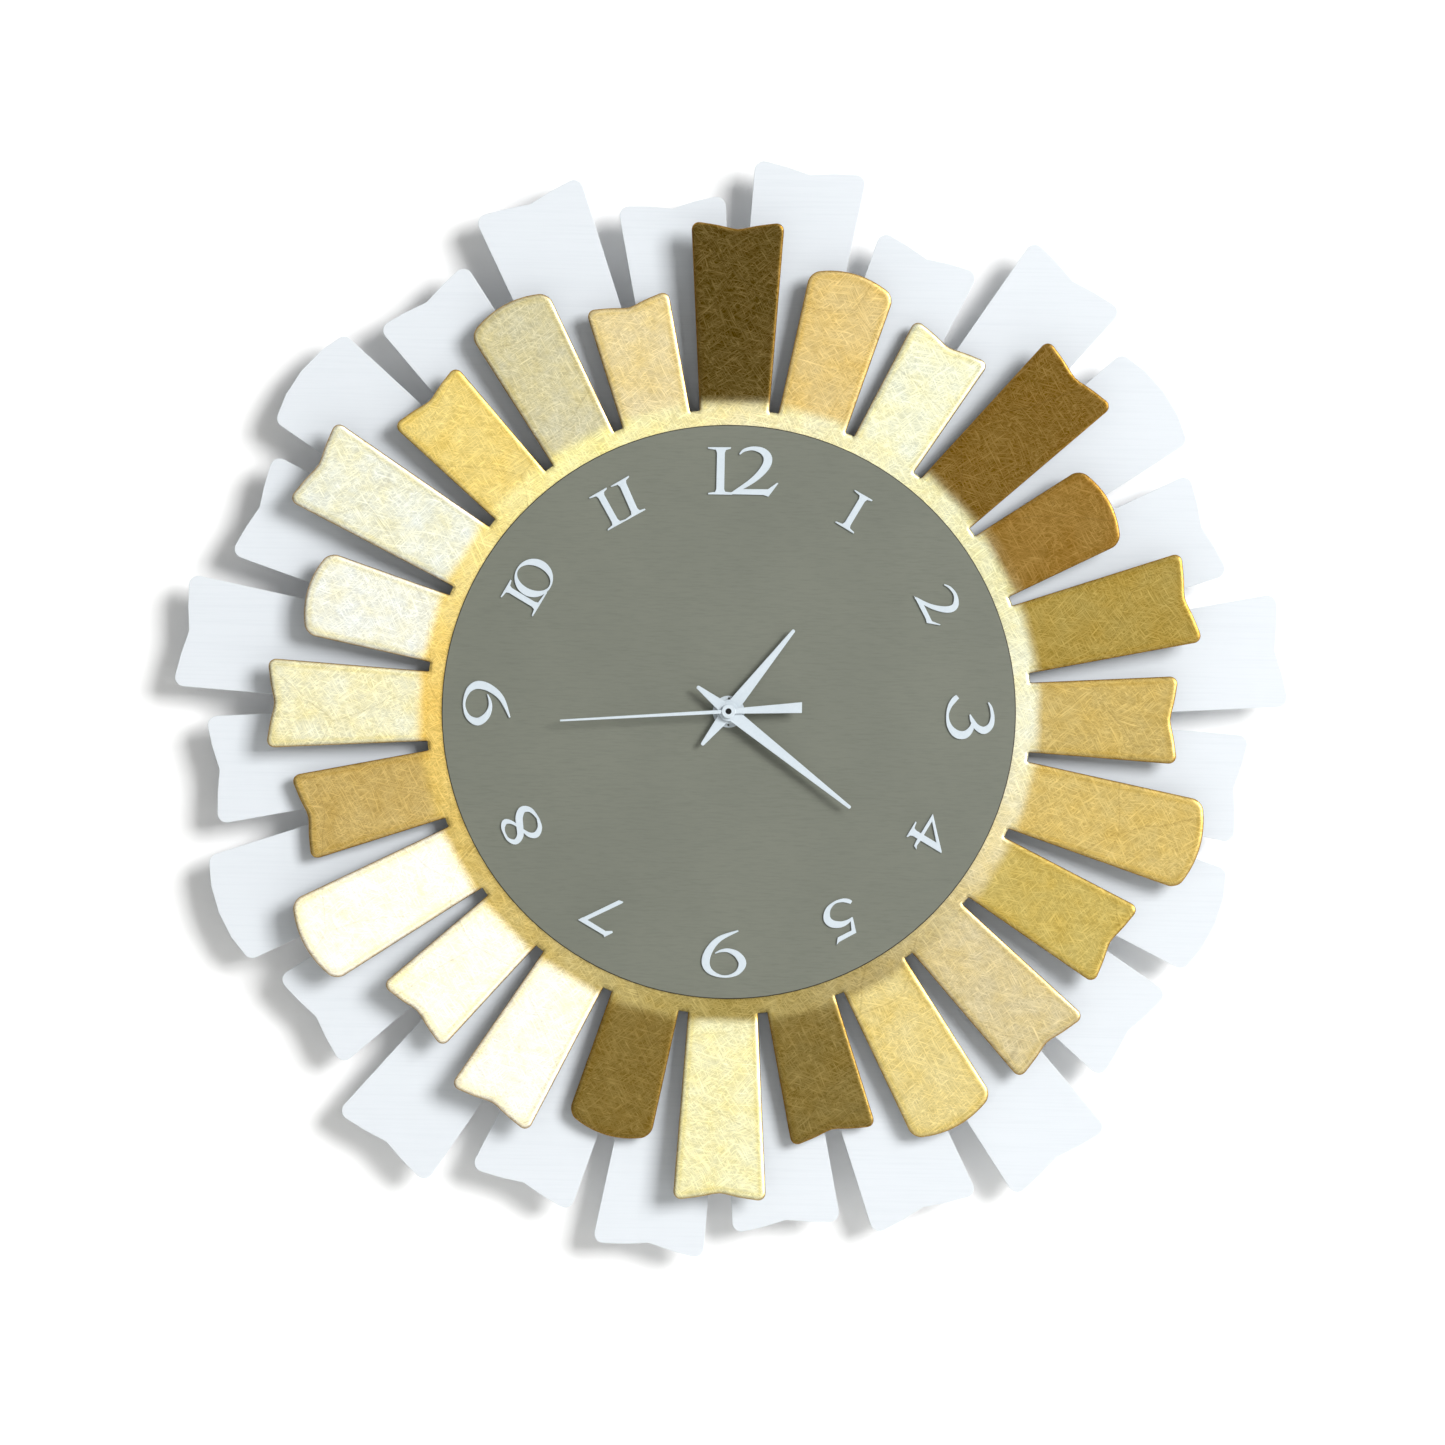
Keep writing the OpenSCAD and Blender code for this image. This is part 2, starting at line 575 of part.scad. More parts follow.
module case_back() color("#1f2023") clock_frame() difference() {
    union() {
        slab(case_back_d, inner_back) difference() {
            case_outline(0);
            bay_outline();
        }
        for (at = [[0, 0], third_at, intermediate_at, rotor_at]) translate(at)
            tube(inner_back, boss_back, boss_r);
        slab(inner_back, inner_back + 2) difference() {
            lip_outline(0);
            lip_outline(1);
        }
    }
    for (at = [[0, 0], third_at, intermediate_at, rotor_at])
        translate(at) tube(inner_back + 0.1, boss_back + 1, pivot_r + run_gap);
    translate(knob_at) tube(case_back_d - 1, inner_back + 1, 1 + run_gap);
}
module lip_outline(inset) translate([-case_inner + 0.1 + inset, bay_top + bay_wall_t + 0.1 + inset])
    square([2 * (case_inner - 0.1 - inset), case_top - case_wall - bay_top - bay_wall_t - 0.2 - 2 * inset]);

// ---- electrics ----

stator_d = inner_front - 8.8;
coil_at = [17.5, 21.6];
coil_len = 16;
coil_r = 3.3;
coil_d = stator_d + 0.5;
board_front = inner_front - 0.6;
board_t = 1;
board_y = 19.2;
module circuit_board() color("#2f6b3f") clock_frame() {
    slab(board_front - board_t, board_front) translate([-case_inner + 0.5, board_y])
        square([2 * case_inner - 1, case_top - case_wall - board_y - 0.3]);
    slab(board_front - board_t - 0.8, board_front - board_t) translate([-8, board_y + 3.5]) circle(2.6);
}
module quartz_crystal() color(zinc) clock_frame() translate([-20, board_y + 3.5, board_front - board_t - 1])
    rotate([0, 90, 0]) {
        cylinder(h = 6, r = 1);
        translate([0, 0, -0.5]) cylinder(h = 0.5, r = 0.8);
    }
module along_coil(from, to, r, bore) translate([coil_at[0] + from, coil_at[1], coil_d]) rotate([0, 90, 0])
    linear_extrude(to - from) difference() {
        circle(r);
        square([bore, bore], center = true);
    }
module coil_bobbin() color("#3b3d40") clock_frame() {
    along_coil(-coil_len / 2, -coil_len / 2 + 0.8, coil_r, 1.1);
    along_coil(-coil_len / 2 + 0.8, coil_len / 2 - 0.8, 1.3, 1.1);
    along_coil(coil_len / 2 - 0.8, coil_len / 2, coil_r, 1.1);
}
module coil_winding() color("#b4622f") clock_frame()
    translate([coil_at[0], coil_at[1], coil_d]) rotate([0, 90, 0])
        translate([0, 0, -coil_len / 2 + 0.8]) linear_extrude(coil_len - 1.6) difference() {
            circle(coil_r - 0.4);
            circle(1.3);
        }
module stator() color(zinc) clock_frame() slab(stator_d, stator_d + 1) difference() {
    polygon([[6.2, 23.8], [6.2, 9.5], [26, 9.5], [26, 23.8], [coil_at[0] + coil_len / 2 + 0.1, 23.8],
        [coil_at[0] + coil_len / 2 + 0.1, coil_at[1] + 0.5], [coil_at[0] - coil_len / 2 - 0.1, coil_at[1] + 0.5],
        [coil_at[0] - coil_len / 2 - 0.1, 23.8]]);
    translate([coil_at[0] - coil_len / 2 - 0.1, 17.6]) square([coil_len + 0.2, coil_at[1] - 0.5 - 17.6]);
    translate(rotor_at) circle(3.7);
    translate(rotor_at) rotate(35) square([8.4, 0.8], center = true);
}
module end_contact(x, from_y) slab(inner_back + 3, inner_back + 8) translate([x, from_y])
    square([0.4, board_y + 3 - from_y]);
battery_x = -case_inner + 2.2;
module negative_contact() color(zinc) clock_frame() {
    root_x = -case_inner + 0.3;
    end_contact(-case_inner + 0.05, bay_y - 6);
    slab(bay_d - 2.5, bay_d + 2.5) polygon([
        [root_x, bay_y - 5], [battery_x - seat_gap - 0.4, bay_y - 1.5],
        [battery_x - seat_gap - 0.4, bay_y + 1.5], [root_x, bay_y + 5],
        [root_x, bay_y + 5.6], [battery_x - seat_gap, bay_y + 1.7],
        [battery_x - seat_gap, bay_y - 1.7], [root_x, bay_y - 5.6]]);
}
module positive_contact() color(zinc) clock_frame() {
    root_x = case_inner - 0.3;
    end_contact(case_inner - 0.45, bay_y - 6);
    slab(bay_d - 2, bay_d + 2) polygon([
        [root_x, bay_y - 4], [battery_x + battery_len + seat_gap, bay_y - 2],
        [battery_x + battery_len + seat_gap, bay_y + 2], [root_x, bay_y + 4]]);
}
bay_d = inner_back + battery_d / 2 - 0.6;
module battery() color("#38513f") clock_frame() translate([battery_x, bay_y, bay_d]) rotate([0, 90, 0]) {
    cylinder(h = battery_len - 1.2, r = battery_d / 2);
    translate([0, 0, battery_len - 1.2]) cylinder(h = 1.2, r = 2.75);
}

// ---- train ----

module rotor() color("#55585c") clock_frame() translate(rotor_at) {
    train_arbor();
    gear(rotor_pinion_n, rotor_mod, intermediate_layer - pinion_over, intermediate_layer + wheel_t + pinion_over,
        rotor_turn, arbor_r / 2);
    tube(stator_d - 1, stator_d + 2, 3);
}
module intermediate_wheel() color(brass) clock_frame() translate(intermediate_at) {
    train_arbor();
    gear(intermediate_n, rotor_mod, intermediate_layer, intermediate_layer + wheel_t, intermediate_turn, arbor_r / 2);
    gear(intermediate_pinion_n, second_mod, second_layer - pinion_over, second_layer + wheel_t + pinion_over,
        intermediate_pinion_turn, arbor_r / 2);
}
module second_wheel() color(brass) clock_frame() {
    tube(inner_back + 0.2, boss_back + 0.1, pivot_r);
    tube(boss_back + 0.1, second_arbor_end, arbor_r);
    gear(second_n, second_mod, second_layer, second_layer + wheel_t, second_turn, arbor_r / 2);
    gear(second_pinion_n, third_mod, third_layer - pinion_over, third_layer + wheel_t + pinion_over,
        second_pinion_turn, arbor_r / 2);
}
module third_wheel() color(brass) clock_frame() translate(third_at) {
    train_arbor();
    gear(third_n, third_mod, third_layer, third_layer + wheel_t, third_turn, arbor_r / 2);
    gear(third_pinion_n, centre_mod, centre_layer - pinion_over, centre_layer + wheel_t + pinion_over,
        third_pinion_turn, arbor_r / 2);
}
module centre_wheel() color(brass) clock_frame()
    gear(centre_n, centre_mod, centre_layer, centre_layer + wheel_t, centre_turn, minute_arbor_r + run_gap);
module minute_arbor() color(zinc) clock_frame() {
    tube(centre_layer - 0.4, minute_arbor_end, minute_arbor_r, arbor_r + run_gap);
    gear(cannon_n, cannon_mod, motion_layer, motion_layer + 1, cannon_turn, arbor_r + run_gap);
    tube(centre_layer - 0.6, centre_layer - 0.2, minute_arbor_r + 0.8, arbor_r + run_gap);
}
module clutch_spring() color("#8d9196") clock_frame()
    slab(centre_layer + wheel_t + 0.1, motion_layer - 0.02) difference() {
        union() {
            for (a = [0:60:120]) rotate(a) square([7.2, 1.5], center = true);
            circle(minute_arbor_r + 0.8);
        }
        circle(minute_arbor_r + snug_gap);
    }
module motion_wheel() color(brass) clock_frame() translate(motion_at) {
    gear(motion_n, cannon_mod, motion_layer, motion_layer + 1, motion_turn, 0.75 + run_gap);
    gear(motion_pinion_n, hour_mod, motion_layer + 1, hour_layer + 1, motion_pinion_turn, 0.75 + run_gap);
}
module hour_wheel() color(brass) clock_frame() {
    gear(hour_n, hour_mod, hour_layer, hour_layer + 1, hour_turn, minute_arbor_r + run_gap);
    tube(hour_layer, hour_pipe_end, hour_pipe_r, minute_arbor_r + run_gap);
}
module setting_knob() color("#6d7073") clock_frame() translate(knob_at) {
    tube(case_back_d - 0.2, boss_front - 0.1, 1);
    tube(boss_front - 0.1, inner_front - 0.6, 0.8);
    gear(knob_n, cannon_mod, motion_layer, motion_layer + 1, knob_turn, 0.9);
    slab(case_back_d - 4, case_back_d - 0.2) difference() {
        circle(5);
        for (a = [0:20:340]) rotate(a) translate([5.15, 0]) circle(0.4);
    }
}

// ---- back ----

keyhole_rise = 9;
module hanger_bracket() color(zinc) clock_frame() translate([0, arbor_drop, 0]) difference() {
    rotate([90, 0, 0]) translate([0, 0, -bracket_h / 2]) linear_extrude(bracket_h) polygon([
        [-bracket_w / 2, 0], [bracket_w / 2, 0], [bracket_w / 2, white_back - bracket_t],
        [bracket_w / 2 + flange_w, white_back - bracket_t], [bracket_w / 2 + flange_w, white_back],
        [bracket_w / 2 - bracket_t, white_back], [bracket_w / 2 - bracket_t, bracket_t],
        [-bracket_w / 2 + bracket_t, bracket_t], [-bracket_w / 2 + bracket_t, white_back],
        [-bracket_w / 2 - flange_w, white_back], [-bracket_w / 2 - flange_w, white_back - bracket_t],
        [-bracket_w / 2, white_back - bracket_t]]);
    slab(-1, bracket_t + 1) {
        circle(keyhole_r);
        translate([-keyhole_slot_w / 2, 0]) square([keyhole_slot_w, keyhole_rise]);
        translate([0, keyhole_rise]) circle(keyhole_slot_w / 2);
    }
    translate([0, -arbor_drop, white_back - bracket_t - 1]) linear_extrude(bracket_t + 2)
        rivet_places() circle(stud_d / 2 + run_gap);
}
module bracket_rivets() color(zinc) clock_frame() rivet_places() {
    tube(white_back - bracket_t - 0.9, white_front + 0.1, stud_d / 2);
    tube(white_back - bracket_t - 1, white_back - bracket_t, stud_d * 0.75);
    tube(white_front, white_front + rivet_head_t, stud_d * 0.9);
}
module dial_studs() color(zinc) clock_frame()
    stud_places() tube(white_back - washer_h - nut_h - 1, gold_front, stud_d / 2);
module plate_spacers() color(zinc) clock_frame()
    stud_places() tube(white_front, gold_back, stud_d / 2 + 3, stud_hole_r);
module stud_washers() color(zinc) clock_frame()
    stud_places() tube(white_back - washer_h, white_back, stud_d + 0.5, stud_hole_r);
module stud_nuts() color(zinc) clock_frame() stud_places()
    slab(white_back - washer_h - nut_h, white_back - washer_h) difference() {
        circle(stud_d, $fn = 6);
        circle(stud_d / 2 + snug_gap);
    }
module wall_standoffs() color("#1f2023") clock_frame() standoff_places() difference() {
    tube(foot_t, white_back, standoff_d / 2);
    tube(white_back - standoff_bore - 0.5, white_back + 1, stud_d / 2 + snug_gap);
}
module standoff_screws() color(zinc) clock_frame() standoff_places() difference() {
    union() {
        tube(white_back - standoff_bore, white_front + 0.1, stud_d / 2);
        tube(white_front, white_front + 2.4, stud_d);
    }
    for (a = [0, 90]) translate([0, 0, white_front + 1.2]) rotate(a) linear_extrude(2)
        square([stud_d, 0.8], center = true);
}
module bumper_feet() color("#3a3a3a") clock_frame() standoff_places() difference() {
    tube(0, foot_t + foot_lap, standoff_d / 2 + 1.5);
    tube(foot_t, foot_t + foot_lap + 1, standoff_d / 2 + snug_gap);
}

rear_sunburst();
front_sunburst();
dial_plate();
for (n = [1:12]) numeral(n);
hour_hand();
minute_hand();
second_hand();
dial_nut();
rubber_washer();
case_front();
case_back();
threaded_bush();
circuit_board();
quartz_crystal();
coil_bobbin();
coil_winding();
stator();
rotor();
intermediate_wheel();
second_wheel();
third_wheel();
centre_wheel();
minute_arbor();
clutch_spring();
motion_wheel();
hour_wheel();
setting_knob();
negative_contact();
positive_contact();
battery();
hanger_bracket();
bracket_rivets();
dial_studs();
plate_spacers();
stud_washers();
stud_nuts();
wall_standoffs();
standoff_screws();
bumper_feet();
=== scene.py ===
"""Looks for the sunburst wall clock: gilded and white ray plates, taupe dial, hands and quartz movement.

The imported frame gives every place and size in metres: the wall is the plane y = 0, the dial faces -Y and
the hands turn about an axis along Y. Pieces that need a richer surface than the frame's own are built here
as numpy grids or as rounded copies of a frame node, and everything gets its maker's finish.
"""

from __future__ import annotations

import json
import logging
import math
from collections.abc import Sequence
from dataclasses import dataclass, field
from enum import Enum

import bmesh
import bpy
import numpy as np
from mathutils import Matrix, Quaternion, Vector

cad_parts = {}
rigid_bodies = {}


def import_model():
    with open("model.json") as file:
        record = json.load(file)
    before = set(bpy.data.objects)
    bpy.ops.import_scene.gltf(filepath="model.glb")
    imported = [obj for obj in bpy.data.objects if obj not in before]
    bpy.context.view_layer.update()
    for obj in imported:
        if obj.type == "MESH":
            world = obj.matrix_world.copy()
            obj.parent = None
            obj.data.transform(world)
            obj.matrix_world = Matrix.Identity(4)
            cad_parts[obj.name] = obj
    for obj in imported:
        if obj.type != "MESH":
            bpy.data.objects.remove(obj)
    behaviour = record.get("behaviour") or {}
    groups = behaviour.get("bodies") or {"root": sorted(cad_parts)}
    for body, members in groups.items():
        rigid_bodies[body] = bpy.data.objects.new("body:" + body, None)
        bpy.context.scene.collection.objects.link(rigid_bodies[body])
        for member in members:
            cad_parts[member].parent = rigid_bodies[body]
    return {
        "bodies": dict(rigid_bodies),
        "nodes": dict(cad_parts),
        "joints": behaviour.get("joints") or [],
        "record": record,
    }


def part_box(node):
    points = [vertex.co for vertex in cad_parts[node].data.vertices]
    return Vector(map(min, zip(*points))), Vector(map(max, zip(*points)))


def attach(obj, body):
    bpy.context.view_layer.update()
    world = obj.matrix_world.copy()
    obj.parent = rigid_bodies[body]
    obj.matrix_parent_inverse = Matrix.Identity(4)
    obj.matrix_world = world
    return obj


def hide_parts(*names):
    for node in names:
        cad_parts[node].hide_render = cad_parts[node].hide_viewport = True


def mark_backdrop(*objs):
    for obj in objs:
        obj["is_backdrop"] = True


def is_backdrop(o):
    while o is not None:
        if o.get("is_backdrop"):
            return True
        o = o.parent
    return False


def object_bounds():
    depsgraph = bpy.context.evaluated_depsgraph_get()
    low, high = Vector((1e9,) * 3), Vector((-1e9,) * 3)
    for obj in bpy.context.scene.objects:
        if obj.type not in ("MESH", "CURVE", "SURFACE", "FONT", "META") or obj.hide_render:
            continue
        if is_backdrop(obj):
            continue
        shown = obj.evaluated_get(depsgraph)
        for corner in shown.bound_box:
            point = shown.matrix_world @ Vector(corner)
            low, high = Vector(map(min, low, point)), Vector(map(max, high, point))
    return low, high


LOG = logging.getLogger("sunburst_clock")
MM = 0.001

# Angles between faces: up to FLAT they are one face, above the others their edge stays crisp, with
# CREASE for rounded copies and RIM for the gilded plate. Nearer than MERGE_DISTANCE, points are one.
FLAT_ANGLE = math.radians(0.4)
SHARP_ANGLE = math.radians(35)
CREASE_ANGLE = math.radians(38)
RIM_ANGLE = math.radians(60)
MERGE_DISTANCE = 1e-6

# Where the battery sleeve's band starts, as a share of the battery's length.
BAND_SHARE = 0.72

# A colour mix's settings, and its sockets by number, because several of them share a name.
NORMAL_MIX = {"data_type": "RGBA"}
MULTIPLY_MIX = {"data_type": "RGBA", "blend_type": "MULTIPLY"}
SHARE, UNDER, OVER, MIXED = 0, 6, 7, 2

Array = np.ndarray
Material = bpy.types.Material
Mesh = bpy.types.Mesh
Piece = bpy.types.Object
Socket = bpy.types.NodeSocket
Tree = bpy.types.ShaderNodeTree


# ---- Colours and shader nodes ------------------------------------


def linear(colour: str) -> tuple[float, float, float, float]:
    """Turns an sRGB hex colour to linear light.

    Args:
        colour: six hex digits after a hash, such as "#80806c".

    Returns:
        Red, green, blue and an alpha of 1.
    """
    channels = [int(colour[i : i + 2], 16) / 255 for i in (1, 3, 5)]
    red, green, blue = (c / 12.92 if c <= 0.04045 else ((c + 0.055) / 1.055) ** 2.4 for c in channels)
    return red, green, blue, 1.0


def add_node(
    tree: Tree, kind: str, settings: dict | None = None, links: dict | None = None
) -> bpy.types.Node:
    """Adds one shader node.

    Args:
        tree: the node tree that gets it.
        kind: the node's type after "ShaderNode", such as "TexNoise".
        settings: values by name, for a socket if the node has one of that name or number, else a
            property.
        links: the socket that feeds each input, by the input's name or number.

    Returns:
        The new node.
    """
    node = tree.nodes.new("ShaderNode" + kind)
    for name, value in (settings or {}).items():
        if isinstance(name, int) or name in node.inputs:
            node.inputs[name].default_value = value
        else:
            setattr(node, name, value)
    for name, source in (links or {}).items():
        tree.links.new(source, node.inputs[name])
    return node


def new_material(name: str) -> tuple[Material, Tree]:
    """Starts an empty node material and returns it with its tree."""
    material = bpy.data.materials.new(name)
    material.use_nodes = True
    material.node_tree.nodes.clear()
    return material, material.node_tree


def cycles_per_metre(size_mm: float) -> float:
    """Texture scale at which one cell of a pattern is size_mm wide on Object coordinates in metres."""
    return 1 / (size_mm * MM)


# ---- Finishes ----------------------------------------------------


class Tooling(Enum):
    """How a surface was worked, as the stretch of its grain along X, Y and Z."""

    CAST = (1.0, 1.0, 1.0)
    BRUSHED_ACROSS = (1 / 45, 1.0, 1.0)
    SANDED_ACROSS = (1 / 9, 1.0, 1.0)
    BRUSHED_UP = (1.0, 1.0, 1 / 30)
    DRAWN_IN_DEPTH = (1.0, 1 / 20, 1.0)


@dataclass(frozen=True)
class Finish:
    """A finish with one grain and one slower mottling.

    Attributes:
        name: what the material is and how it was made.
        colour: sRGB hex of the surface.
        shade: sRGB hex that the mottling and the grain turn towards.
        metallic: 1 for bare metal and plating, 0 for paint, plastic and rubber.
        roughness: middle value of the surface's roughness.
        tooling: how the surface was worked.
        grain_mm: width of one grain line or grit.
        grain_depth_mm: height of the grain.
        mottle_mm: size of the slower patches.
        mottling: share of the shade that the patches show, from 0 to 1.
        grain_share: share of the shade that the grain shows, from 0 to 1.
        ior: index of refraction, left at the usual 1.5 for metal.
        coat: weight of a clear lacquer.
    """

    name: str
    colour: str
    shade: str
    metallic: float = 0.0
    roughness: float = 0.5
    tooling: Tooling = Tooling.CAST
    grain_mm: float = 1.0
    grain_depth_mm: float = 0.02
    mottle_mm: float = 30.0
    mottling: float = 0.35
    grain_share: float = 0.4
    ior: float = 1.5
    coat: float = 0.0

    def material(self) -> Material:
        """Builds the material: mottled colour, grain in colour, roughness and bump, one shader."""
        material, tree = new_material(self.name)
        shade = linear(self.shade)
        place = add_node(tree, "TexCoord").outputs["Object"]
        scale = tuple(stretch * cycles_per_metre(self.grain_mm) for stretch in self.tooling.value)
        drawn = add_node(tree, "Mapping", {"Scale": scale}, {"Vector": place}).outputs["Vector"]
        settings = {"Scale": 1.0, "Detail": 3.0, "Roughness": 0.6}
        grain = add_node(tree, "TexNoise", settings, {"Vector": drawn}).outputs["Fac"]
        settings = {"Scale": cycles_per_metre(self.mottle_mm), "Detail": 5.0, "Roughness": 0.55}
        patches = add_node(tree, "TexNoise", settings, {"Vector": place}).outputs["Fac"]

        settings = {"From Min": 0.35, "From Max": 0.68, "To Max": self.mottling}
        shown = add_node(tree, "MapRange", settings, {"Value": patches}).outputs["Result"]
        settings = NORMAL_MIX | {UNDER: linear(self.colour), OVER: shade}
        patched = add_node(tree, "Mix", settings, {SHARE: shown}).outputs[MIXED]
        settings = {"From Min": 0.45, "From Max": 0.75, "To Max": self.grain_share}
        shown = add_node(tree, "MapRange", settings, {"Value": grain}).outputs["Result"]
        links = {SHARE: shown, UNDER: patched}
        grained = add_node(tree, "Mix", NORMAL_MIX | {OVER: shade}, links).outputs[MIXED]

        smoothest, dullest = self.roughness * 0.85, min(self.roughness * 1.2, 1.0)
        settings = {"From Min": 0.3, "From Max": 0.7, "To Min": smoothest, "To Max": dullest}
        roughness = add_node(tree, "MapRange", settings, {"Value": grain}).outputs["Result"]
        settings = {"Strength": 1.0, "Distance": self.grain_depth_mm * MM}
        normal = add_node(tree, "Bump", settings, {"Height": grain}).outputs["Normal"]
        settings = {"Metallic": self.metallic, "Coat Weight": self.coat, "Coat Roughness": 0.12}
        if not self.metallic:
            settings["IOR"] = self.ior
        links = {"Base Color": grained, "Roughness": roughness, "Normal": normal}
        shader = add_node(tree, "BsdfPrincipled", settings, links)
        add_node(tree, "OutputMaterial", links={"Surface": shader.outputs["BSDF"]})
        return material


@dataclass(frozen=True)
class GoldLeaf:
    """Metal leaf laid by hand over primer and rubbed down: warm and satin. Each sheet's tone also carries
    painted reflection and shade.

    Attributes:
        name: what the material is.
        tint: name of the mesh attribute that holds the tone of each ray's leaf, with painted reflection
            and shade in it.
        roughness: middle value of the leaf's roughness.
        relief_mm: height of the clouds and the marks.
        cloud_mm: size of the thin and thick patches of the leaf.
        thin_leaf: sRGB hex that multiplies the tone where the leaf is thin.
        sheet_mm: width of one sheet of leaf, where the faint laps show.
        lap: sRGB hex that multiplies the tone on a lap.
        lap_share: how much of that colour a lap shows at its middle, from 0 to 1.
        lap_width: where a lap has faded out, as a share of a sheet's width.
        drift_mm: size of the waves that the marks and laps follow.
        drift_reach: how far those waves carry them, in metres.
        mark_mm: width of one rubbing mark.
        mark_stretch: length of a mark over its width.
        mark_turns: angles of the marks from upright, in degrees.
        glint: the painted highlight that a full mark adds to the tone, in linear red, green and blue.
    """

    name: str = "gold_leaf_rubbed"
    tint: str = "leaf_tone_and_painted_light"
    roughness: float = 0.34
    relief_mm: float = 0.06
    cloud_mm: float = 16.0
    thin_leaf: str = "#f0e8cc"
    sheet_mm: float = 78.0
    lap: str = "#7a673c"
    lap_share: float = 0.2
    lap_width: float = 0.006
    drift_mm: float = 45.0
    drift_reach: float = 0.012
    mark_mm: float = 0.55
    mark_stretch: float = 26.0
    mark_turns: tuple[float, ...] = (30.0, -52.0, 78.0)
    glint: tuple[float, float, float] = (0.06, 0.05, 0.028)

    def rubbing(self, tree: Tree, place: Socket, turn: float) -> Socket:
        """Fine rubbing marks in one direction: a noise stretched along them and turned in the plate.

        Args:
            tree: the material's tree.
            place: the coordinates, in metres.
            turn: the angle of the marks from upright, in degrees.

        Returns:
            A socket that runs from 0 between the marks to 1 on them.
        """
        across = cycles_per_metre(self.mark_mm)
        settings = {"Rotation": (0.0, math.radians(turn), 0.0)}
        turned = add_node(tree, "Mapping", settings, {"Vector": place}).outputs["Vector"]
        settings = {"Scale": (across, across, across / self.mark_stretch)}
        drawn = add_node(tree, "Mapping", settings, {"Vector": turned}).outputs["Vector"]
        settings = {"Scale": 1.0, "Detail": 2.0, "Roughness": 0.5}
        return add_node(tree, "TexNoise", settings, {"Vector": drawn}).outputs["Fac"]

    def material(self) -> Material:
        """Builds the material: the sheet's tint with painted reflection and shade, its clouds, rubbing
        marks brightened as painted glints, faint dark laps.
        """
        material, tree = new_material(self.name)
        place = add_node(tree, "TexCoord").outputs["Object"]
        tint = add_node(tree, "Attribute", {"attribute_name": self.tint}).outputs["Color"]
        settings = {"Scale": cycles_per_metre(self.drift_mm), "Detail": 2.0}
        drift = add_node(tree, "TexNoise", settings, {"Vector": place}).outputs["Color"]
        settings = {"operation": "MULTIPLY_ADD", 1: (self.drift_reach,) * 3}
        bent = add_node(tree, "VectorMath", settings, {0: drift, 2: place}).outputs["Vector"]

        settings = {"Scale": cycles_per_metre(self.cloud_mm), "Detail": 7.0, "Roughness": 0.65}
        clouds = add_node(tree, "TexNoise", settings, {"Vector": place}).outputs["Fac"]
        marks = self.rubbing(tree, bent, self.mark_turns[0])
        for turn in self.mark_turns[1:]:
            links = {0: marks, 1: self.rubbing(tree, bent, turn)}
            marks = add_node(tree, "Math", {"operation": "MAXIMUM"}, links).outputs["Value"]
        settings = {"feature": "DISTANCE_TO_EDGE", "Scale": cycles_per_metre(self.sheet_mm)}
        laps = add_node(tree, "TexVoronoi", settings, {"Vector": bent}).outputs["Distance"]

        settings = {"From Min": 0.32, "From Max": 0.68}
        thin = add_node(tree, "MapRange", settings, {"Value": clouds}).outputs["Result"]
        settings = MULTIPLY_MIX | {OVER: linear(self.thin_leaf)}
        cloudy = add_node(tree, "Mix", settings, {SHARE: thin, UNDER: tint}).outputs[MIXED]
        # Painted glints: the rubbing marks scale the tone up and add the glint on top.
        settings = {"From Min": 0.47, "From Max": 0.74, "To Min": -0.3, "To Max": 1.0}
        lines = add_node(tree, "MapRange", settings, {"Value": marks}).outputs["Result"]
        settings = {"From Min": -1.0, "From Max": 1.0, "To Min": 0.66, "To Max": 1.34}
        gain = add_node(tree, "MapRange", settings, {"Value": lines}).outputs["Result"]
        links = {0: cloudy, "Scale": gain}
        lit = add_node(tree, "VectorMath", {"operation": "SCALE"}, links).outputs["Vector"]
        settings = {"operation": "MULTIPLY_ADD", 1: self.glint}
        rubbed = add_node(tree, "VectorMath", settings, {0: lines, 2: lit}).outputs["Vector"]
        settings = {"From Max": self.lap_width, "To Min": self.lap_share, "To Max": 0.0}
        shown = add_node(tree, "MapRange", settings, {"Value": laps}).outputs["Result"]
        settings = MULTIPLY_MIX | {OVER: linear(self.lap)}
        lapped = add_node(tree, "Mix", settings, {SHARE: shown, UNDER: rubbed}).outputs[MIXED]

        smoothest, dullest = self.roughness * 0.8, self.roughness * 1.35
        settings = {"From Min": 0.3, "From Max": 0.7, "To Min": smoothest, "To Max": dullest}
        roughness = add_node(tree, "MapRange", settings, {"Value": clouds}).outputs["Result"]
        links = {0: clouds, 1: marks}
        height = add_node(tree, "Math", {"operation": "ADD"}, links).outputs["Value"]
        settings = {"Strength": 0.5, "Distance": self.relief_mm * MM}
        normal = add_node(tree, "Bump", settings, {"Height": height}).outputs["Normal"]
        links = {"Base Color": lapped, "Roughness": roughness, "Normal": normal}
        shader = add_node(tree, "BsdfPrincipled", {"Metallic": 1.0}, links)
        add_node(tree, "OutputMaterial", links={"Surface": shader.outputs["BSDF"]})
        return material


